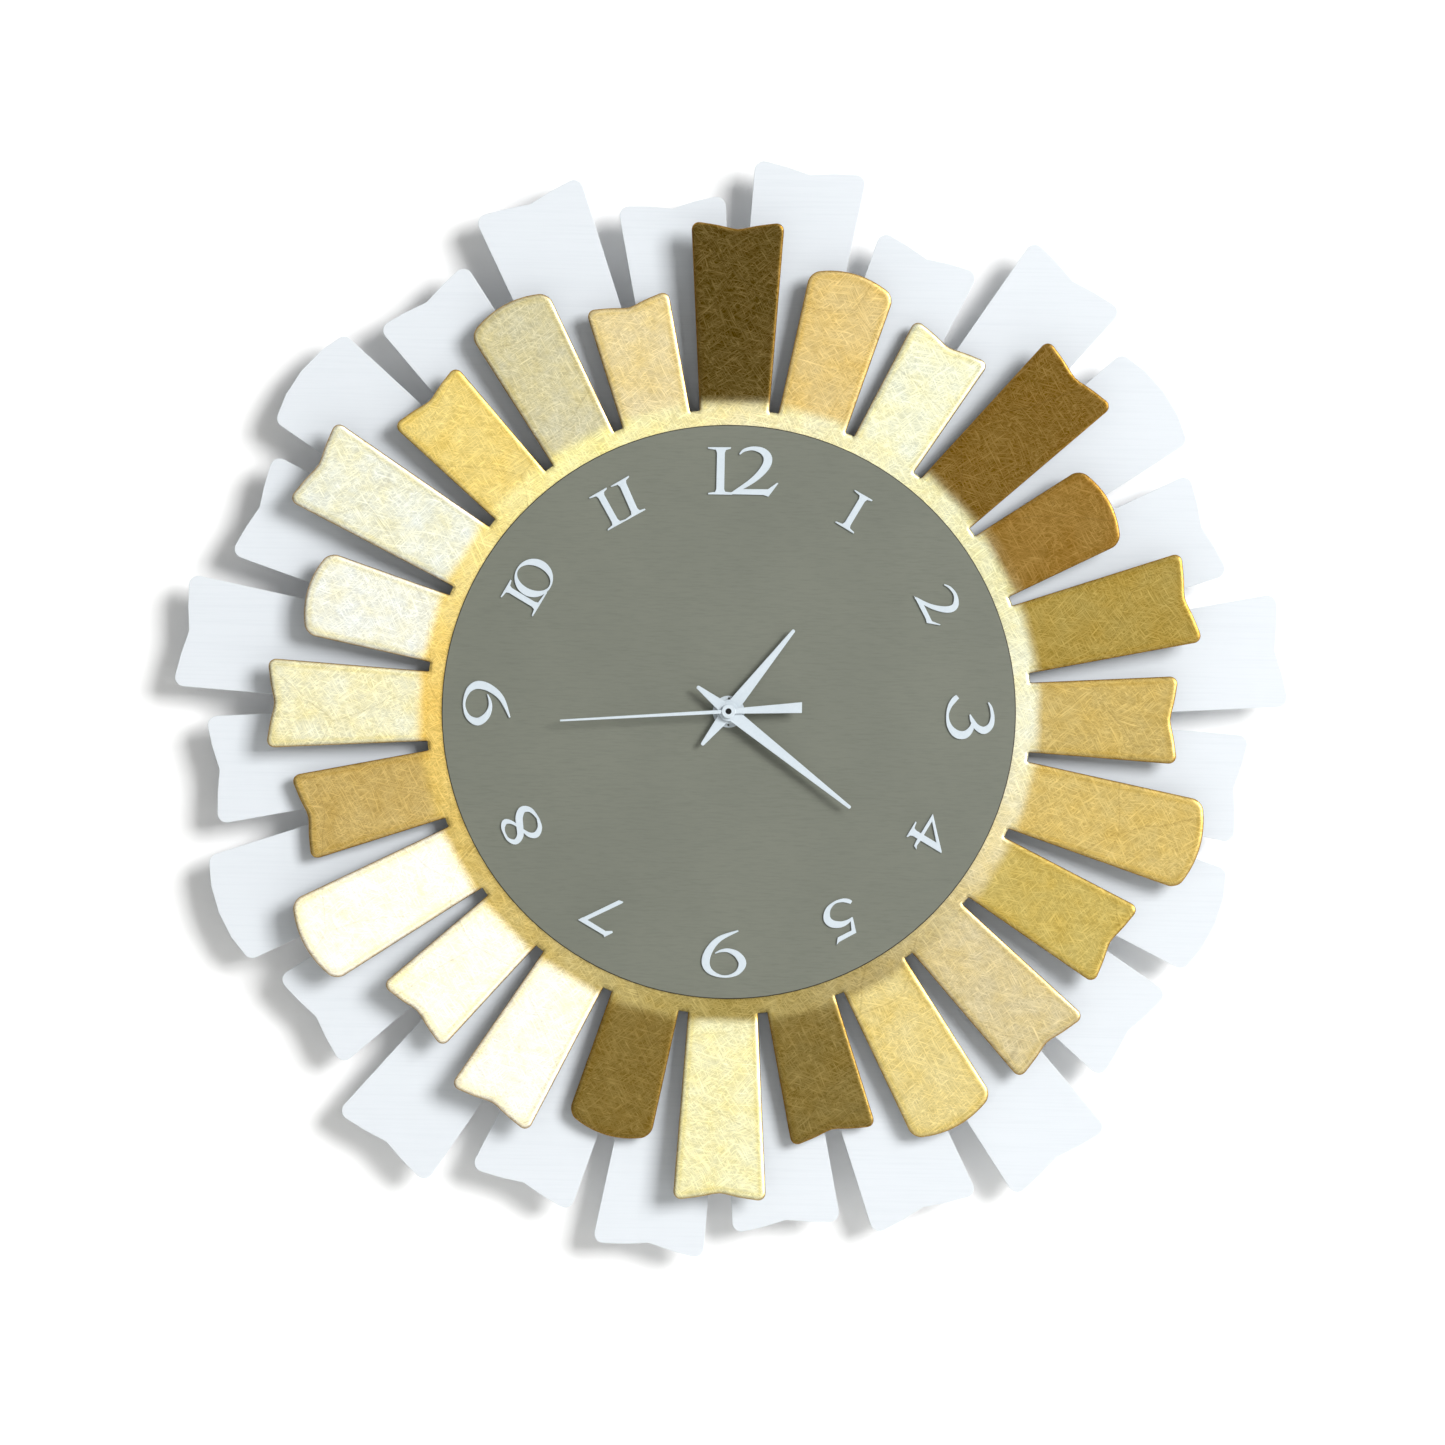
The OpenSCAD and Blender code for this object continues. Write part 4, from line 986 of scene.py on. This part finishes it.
@dataclass
class Face:
    """The white burst, the taupe dial with its numerals, and the nut that clamps them."""

    frame: dict
    white: Material
    taupe: Material
    edge_shade: Material
    lacquer: Material
    sheet_edge: float = 0.5
    numeral_edge: float = 0.28
    nut_edge: float = 0.3
    flat_share: float = 0.97

    def build(self) -> list[Piece]:
        """Builds the pieces and returns them."""
        white = rounded_copy("rear_sunburst", "white_burst", self.sheet_edge, self.frame)
        pieces = [finished(white, self.white, "root", "white_enamel", "rear_sunburst")]
        dial = rounded_copy("dial_plate", "dial_disc", self.sheet_edge, self.frame)
        pieces.append(finished(dial, self.taupe, "root", "taupe_enamel", "dial_plate"))
        self.paint_edge_shade(dial)
        for hour in range(1, 13):
            node = f"numeral_{hour}"
            figure = rounded_copy(node, f"figure_{hour}", self.numeral_edge, self.frame)
            pieces.append(finished(figure, self.lacquer, "root", "white_lacquer", node))
        nut = rounded_copy("dial_nut", "clamping_nut", self.nut_edge, self.frame)
        pieces.append(finished(nut, self.lacquer, "root", "white_lacquer", "dial_nut"))
        return pieces

    def paint_edge_shade(self, dial: Piece) -> None:
        """Gives the dial's cut edge its painted shade: each face whose share along Y is under flat_share.
        """
        mesh = dial.data
        mesh.materials.append(self.edge_shade)
        normals = np.empty(len(mesh.polygons) * 3)
        mesh.polygons.foreach_get("normal", normals)
        sideways = np.abs(normals.reshape(-1, 3)[:, 1]) < self.flat_share
        mesh.polygons.foreach_set("material_index", sideways.astype(np.int32))
        mesh.update()


@dataclass
class Hands:
    """The three hands, each stamped with a small rounding on its edges."""

    frame: dict
    lacquer: Material
    hole_shade: Material
    edge: float = 0.22
    recess_r: float = 1.25
    recess_depth: float = 0.6
    lip_r: float = 1.6
    lip_proud: float = 0.12
    lip_slope: float = 0.04
    wall: float = 0.2
    axis_gap: float = 0.02
    bodies: dict[str, str] = field(
        default_factory=lambda: {
            "hour_hand": "hours_pipe",
            "minute_hand": "minutes_arbor",
            "second_hand": "seconds_arbor",
        }
    )

    def build(self) -> list[Piece]:
        """Builds the hands and returns them."""
        pieces = []
        for node, body in self.bodies.items():
            hand = rounded_copy(node, f"stamped_{node}", self.edge, self.frame)
            pieces.append(finished(hand, self.lacquer, body, "white_lacquer", node))
        pieces.append(self.hole_shade_cup())
        return pieces

    def hole_shade_cup(self) -> Piece:
        """Fills the seconds boss's recess with a near-black shallow cup turned about the arbor, as the
        arbor's end: painted shade that stands for the dark hole, with a lip just proud of the boss's face.

        Returns:
            The dark cup.
        """
        low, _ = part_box("second_hand")
        dial_low, dial_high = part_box("dial_plate")
        r, deep, under = self.recess_r, self.recess_depth, -0.01
        # Radius and depth in mm: from the axis along the cup's floor, up its wall, over the lip and back.
        section = np.array([
            [self.axis_gap, deep - self.wall], [0.35 * r, deep - self.wall],
            [0.8 * r, deep - self.wall / 2], [0.9 * r, self.wall / 2], [0.96 * r, -self.lip_proud],
            [self.lip_r, self.lip_slope - self.lip_proud], [self.lip_r, under], [0.99 * r, under],
            [0.99 * r, deep], [self.axis_gap, deep],
        ])
        profile = section * MM + np.array([0.0, low.y])
        piece = turned_part("seconds_hole_shade_cup", profile, (dial_low + dial_high) / 2, turns=40)
        return finished(piece, self.hole_shade, "seconds_arbor", "zinc_steel")


def finished(piece: Piece, material: Material, body: str, slot: str, *nodes: str) -> Piece:
    """Dresses a piece, ties it to its body, and lets it stand for frame nodes.

    Args:
        piece: the piece.
        material: its finish.
        body: the frame body it moves with.
        slot: the record's material slot; not used.
        nodes: the frame nodes it replaces.

    Returns:
        The same piece.
    """
    dress(piece, material)
    if nodes:
        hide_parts(*nodes)
    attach(piece, body)
    return piece


# ---- Movement and fixings ----------------------------------------


@dataclass
class Movement:
    """The quartz movement: case, board, coil, wheels, contacts and battery."""

    frame: dict
    finishes: dict[str, Material]
    case_edge: float = 0.45
    battery_edge: float = 0.5
    turn_pitch: float = 0.42
    core_share: float = 0.45
    thread_r: float = 3.98
    thread_pitch: float = 0.75
    thread_depth: float = 0.3
    thread_proud: float = 0.12
    thread_wall: float = 0.5

    def build(self) -> list[Piece]:
        """Builds the detailed pieces, dresses the wheels and small parts, and returns the new pieces."""
        pieces = [
            self.rounded("case_front", "case_bowl", "black_abs"),
            self.rounded("case_back", "case_cover", "black_abs"),
            self.rounded("battery", "battery_cell", "battery_sleeve", "battery", self.battery_edge),
            self.coil(),
            self.thread(),
        ]
        plain = {
            "cut_brass": (
                "threaded_bush", "intermediate_wheel", "second_wheel", "third_wheel", "centre_wheel",
                "motion_wheel", "hour_wheel",
            ),
            "zinc_steel": ("stator", "minute_arbor", "clutch_spring"),
            "nickel_plate": ("negative_contact", "positive_contact", "quartz_crystal"),
            "black_abs": ("coil_bobbin", "setting_knob"),
            "circuit_laminate": ("circuit_board",),
            "rotor_magnet": ("rotor",),
            "rubber": ("rubber_washer",),
        }
        for finish, nodes in plain.items():
            for node in nodes:
                dress(self.frame["nodes"][node], self.finishes[finish])
        return pieces

    def rounded(
        self, node: str, name: str, slot: str, body: str = "root", radius: float | None = None
    ) -> Piece:
        """Makes a rounded copy of a node in its finish.

        Args:
            node: the frame node.
            name: the new piece's name.
            slot: the record's slot, which also names the finish.
            body: the frame body it moves with.
            radius: the radius on its edges in mm, or None for the case's own.

        Returns:
            The new piece.
        """
        piece = rounded_copy(node, name, radius or self.case_edge, self.frame)
        return finished(piece, self.finishes[slot], body, slot, node)

    def coil(self) -> Piece:
        """Winds the coil: a drum whose outside swells and sinks once per turn of wire.

        The radius is the drum's plus half a wire times the absolute sine of the place along the axis,
        which gives a row of round wires side by side. The axis is the box's longest side.

        Returns:
            The winding.
        """
        low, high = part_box("coil_winding")
        size = high - low
        axis = int(np.argmax(np.array(size)))
        others = [i for i in range(3) if i != axis]
        outer = min(size[others[0]], size[others[1]]) / 2
        turns = int(size[axis] / (self.turn_pitch * MM))
        place = np.linspace(0, turns, turns * 4 + 1)
        wire = self.turn_pitch * MM / 2
        radius = outer - wire + wire * np.abs(np.sin(np.pi * place))
        inner = outer * self.core_share
        stations = np.concatenate([[0.0], place / turns, [1.0]])
        radii = np.concatenate([[inner], radius, [inner]])
        angle = np.linspace(0, 2 * np.pi, 48, endpoint=False)
        vertices = np.zeros((len(angle), len(stations), 3))
        middle = (low + high) / 2
        vertices[..., axis] = low[axis] + stations * size[axis]
        vertices[..., others[0]] = middle[others[0]] + radii * np.cos(angle)[:, None]
        vertices[..., others[1]] = middle[others[1]] + radii * np.sin(angle)[:, None]
        numbers = np.arange(vertices.shape[0] * vertices.shape[1]).reshape(vertices.shape[:2])
        quads = grid_quads(np.pad(numbers, ((0, 1), (0, 1)), mode="wrap"))
        piece = new_piece("wound_coil", vertices.reshape(-1, 3), quads)
        outward(piece.data)
        return finished(piece, self.finishes["copper_wire"], "root", "copper_wire", "coil_winding")

    def thread(self) -> Piece:
        """Cuts the thread that shows on the bush above the nut.

        A sleeve on the bush whose radius falls and rises by a triangle wave of the pitch.

        Returns:
            The thread.
        """
        low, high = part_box("threaded_bush")
        nut_low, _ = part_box("dial_nut")
        outer, pitch = self.thread_r * MM, self.thread_pitch * MM
        start, end = low.y + 0.05 * MM, nut_low.y - 0.02 * MM
        place = np.arange(start, end, pitch / 4)
        wave = np.abs(((place - start) / pitch) % 1 - 0.5) * 2
        crest = outer + self.thread_proud * MM - wave * self.thread_depth * MM
        outside = np.stack([crest, place], axis=1)
        bore = outer - self.thread_wall * MM
        inside = np.array([[bore, place[-1]], [bore, place[0]]])
        piece = turned_part("bush_thread", np.concatenate([outside, inside]), (low + high) / 2)
        return finished(piece, self.finishes["cut_brass"], "root", "brass")


@dataclass
class Fixings:
    """The hanger, standoffs, feet and the screws, nuts and rivets that hold the plates together."""

    frame: dict
    finishes: dict[str, Material]
    rounded_nodes: dict[str, tuple[str, str, float]] = field(
        default_factory=lambda: {
            "hanger_bracket": ("pressed_hanger", "zinc_steel", 0.35),
            "bracket_rivets": ("hanger_rivets", "zinc_steel", 0.3),
            "dial_studs": ("plate_studs", "zinc_steel", 0.25),
            "plate_spacers": ("turned_spacers", "zinc_steel", 0.3),
            "stud_washers": ("pressed_washers", "zinc_steel", 0.12),
            "stud_nuts": ("hexagon_nuts", "zinc_steel", 0.3),
            "wall_standoffs": ("moulded_standoffs", "black_abs", 0.5),
            "standoff_screws": ("pan_head_screws", "zinc_steel", 0.25),
            "bumper_feet": ("rubber_feet", "rubber", 0.8),
        }
    )

    def build(self) -> list[Piece]:
        """Builds the fixings and returns them."""
        pieces = []
        for node, (name, slot, radius) in self.rounded_nodes.items():
            piece = rounded_copy(node, name, radius, self.frame)
            pieces.append(finished(piece, self.finishes[slot], "root", slot, node))
        return pieces


# ---- Studio ------------------------------------------------------


@dataclass(frozen=True)
class Panel:
    """A square soft light.

    Attributes:
        name: the light's name.
        offset: where it stands, from the point that the camera aims at, in metres.
        side: its side in metres.
        power: its power in watts.
    """

    name: str
    offset: tuple[float, float, float]
    side: float
    power: float

    def hang(self, aim: Vector) -> None:
        """Adds the light, turned to face the point that the camera aims at."""
        light = bpy.data.lights.new(self.name, "AREA")
        light.shape, light.size, light.energy = "SQUARE", self.side, self.power
        lamp = bpy.data.objects.new(self.name, light)
        lamp.location = aim + Vector(self.offset)
        lamp.rotation_mode = "QUATERNION"
        lamp.rotation_quaternion = (-Vector(self.offset)).to_track_quat("-Z", "Y")
        bpy.context.scene.collection.objects.link(lamp)


@dataclass
class Studio:
    """The wall behind the clock, the floor far below it, the soft lights and the camera, in metres.

    The lights are a soft key from the upper right, a broad card behind the camera and a back light.
    """

    aim: Vector
    wall_gap: float = 0.0006
    floor_z: float = -0.9
    half_side: float = 4.0
    flag: tuple[tuple[float, float, float], ...] = ((-2.2, -1.8, -1.0), (0.8, -0.9, 0), (0, 0, 1.3))
    panels: tuple[Panel, ...] = (
        Panel("key_panel", (5.2, -7.2, 2.4), 3.6, 850.0),
        Panel("front_card", (-0.25, -3.3, -0.25), 1.8, 4.0),
        Panel("back_panel", (-1.0, 2.0, 1.0), 1.5, 45.0),
    )
    fill: float = 0.24
    distance: float = 4.0
    azimuth: float = 0.5
    elevation: float = -1.0
    roll: float = 1.1
    view_width: float = 0.772
    look_shift: tuple[float, float] = (-0.0033, -0.0058)

    def build(self) -> None:
        """Sets up the room, the lights and the camera."""
        self.room()
        for panel in self.panels:
            panel.hang(self.aim)
        self.surround()
        bpy.context.scene.view_settings.view_transform = "Standard"
        self.camera()

    def room(self) -> None:
        """Adds the wall behind the clock, the floor and a felt flag that darkens what gloss reflects."""
        across, ahead, up = (Vector(way) * self.half_side for way in ((1, 0, 0), (0, 1, 0), (0, 0, 1)))
        wall = self.sheet("studio_wall", Vector((0, self.wall_gap, 0)), across, up)
        floor = self.sheet("studio_floor", Vector((0, 0, self.floor_z)), across, ahead)
        flag = self.sheet("dark_flag", *(Vector(side) for side in self.flag))
        dress(wall, self.wall_paint())
        dress(floor, STUDIO_FLOOR.material())
        dress(flag, BLACK_FELT.material())
        flag.visible_camera = flag.visible_diffuse = flag.visible_shadow = False
        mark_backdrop(wall, floor, flag)

    def sheet(self, name: str, centre: Vector, right: Vector, up: Vector) -> Piece:
        """Makes a flat sheet from its centre and two half sides."""
        corners = [centre - right - up, centre + right - up, centre + right + up, centre - right + up]
        vertices = np.array([list(c) for c in corners])
        return new_piece(name, vertices, np.array([[0, 1, 2, 3]]))

    def wall_paint(self) -> Material:
        """Matt white paint, seen from the front only.

        From behind it is clear, and a light behind it reaches what the camera sees directly, so the
        clock's back can be looked at and lit. Light that has already bounced once can't pass, which
        keeps the shadows on the wall.

        Returns:
            The material.
        """
        material, tree = new_material("matt_white_wall_paint")
        paint = add_node(tree, "BsdfDiffuse", {"Color": linear("#ffffff")}).outputs["BSDF"]
        clear = add_node(tree, "BsdfTransparent").outputs["BSDF"]
        behind = add_node(tree, "NewGeometry").outputs["Backfacing"]
        path = add_node(tree, "LightPath").outputs
        settings, links = {"operation": "LESS_THAN", 1: 0.5}, {0: path["Diffuse Depth"]}
        first = add_node(tree, "Math", settings, links).outputs["Value"]
        links = {0: path["Is Shadow Ray"], 1: first}
        direct = add_node(tree, "Math", {"operation": "MULTIPLY"}, links).outputs["Value"]
        links = {0: behind, 1: direct}
        either = add_node(tree, "Math", {"operation": "MAXIMUM"}, links).outputs["Value"]
        mixed = add_node(tree, "MixShader", links={0: either, 1: paint, 2: clear}).outputs["Shader"]
        add_node(tree, "OutputMaterial", links={"Surface": mixed})
        return material

    def surround(self) -> None:
        """Adds the pale surround: bright where it is looked at, dim as a light, so shadows stay."""
        world = bpy.data.worlds.new("pale_surround")
        world.use_nodes = True
        tree = world.node_tree
        tree.nodes.clear()
        path = add_node(tree, "LightPath").outputs
        links = {0: path["Is Camera Ray"], 1: path["Is Glossy Ray"]}
        seen = add_node(tree, "Math", {"operation": "MAXIMUM"}, links).outputs["Value"]
        settings = {"To Min": self.fill, "To Max": 1.0}
        strength = add_node(tree, "MapRange", settings, {"Value": seen}).outputs["Result"]
        settings = {"Color": linear("#f7f7f5")}
        glow = add_node(tree, "Background", settings, {"Strength": strength}).outputs["Background"]
        add_node(tree, "OutputWorld", links={"Surface": glow})
        bpy.context.scene.world = world

    def camera(self) -> None:
        """Adds the camera, a little right of the clock and below it, turned so the clock leans right."""
        lens = bpy.data.cameras.new("studio_camera")
        lens.sensor_width = 36.0
        lens.lens = lens.sensor_width * self.distance / self.view_width
        lens.clip_start, lens.clip_end = 0.1, 30.0
        turn, rise = math.radians(self.azimuth), math.radians(self.elevation)
        level = math.cos(rise)
        back = Vector((math.sin(turn) * level, -math.cos(turn) * level, math.sin(rise)))
        facing = (-back).to_track_quat("-Z", "Y") @ Quaternion((0, 0, 1), math.radians(self.roll))
        shift = facing @ Vector((self.look_shift[0], self.look_shift[1], 0))
        camera = bpy.data.objects.new("studio_camera", lens)
        camera.rotation_mode = "QUATERNION"
        camera.rotation_quaternion = facing
        camera.location = self.aim + shift + back * self.distance
        bpy.context.scene.collection.objects.link(camera)
        bpy.context.scene.camera = camera


# ---- Putting it together -----------------------------------------


def write_sizes(cad_box: Sequence[Vector]) -> None:
    """Gathers the frame's box and the finished model's box as plain lists of metres; they are not written
    anywhere.
    """
    boxes = {"cad": cad_box, "visual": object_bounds()}
    boxes = {name: [list(corner) for corner in box] for name, box in boxes.items()}


def finish_materials() -> dict[str, Material]:
    """Builds the finishes that movement and fixings share, by the record's slot names."""
    low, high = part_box("battery")
    sleeve = ShrinkSleeve("film_sleeve", "#16301f", "#b3703a", low.x + BAND_SHARE * (high.x - low.x))
    return {
        "cut_brass": CUT_BRASS.material(),
        "zinc_steel": ZINC_STEEL.material(),
        "nickel_plate": NICKEL_PLATE.material(),
        "rotor_magnet": ROTOR_MAGNET.material(),
        "black_abs": BLACK_ABS.material(),
        "circuit_laminate": CIRCUIT_LAMINATE.material(),
        "copper_wire": COPPER_WIRE.material(),
        "rubber": RUBBER.material(),
        "battery_sleeve": sleeve.material(),
    }


def main() -> None:
    """Builds the clock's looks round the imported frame."""
    logging.basicConfig(level=logging.INFO, format="%(name)s: %(message)s")
    for leftover in list(bpy.data.objects):
        bpy.data.objects.remove(leftover)
    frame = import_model()
    cad_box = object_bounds()
    lacquer = WHITE_LACQUER.material()
    finishes = finish_materials()
    pieces = [GoldBurst(GoldLeaf().material()).build()]
    pieces += Face(
        frame, WHITE_ENAMEL.material(), TAUPE_ENAMEL.material(), PAINTED_EDGE_SHADE.material(), lacquer
    ).build()
    pieces += Hands(frame, lacquer, PAINTED_HOLE_SHADE.material()).build()
    pieces += Movement(frame, finishes).build()
    pieces += Fixings(frame, finishes).build()
    hub_low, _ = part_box("dial_nut")
    dial_low, dial_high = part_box("dial_plate")
    middle = (dial_low + dial_high) / 2
    Studio(Vector((middle.x, hub_low.y, middle.z))).build()
    write_sizes(cad_box)


if __name__ == "__main__":
    main()
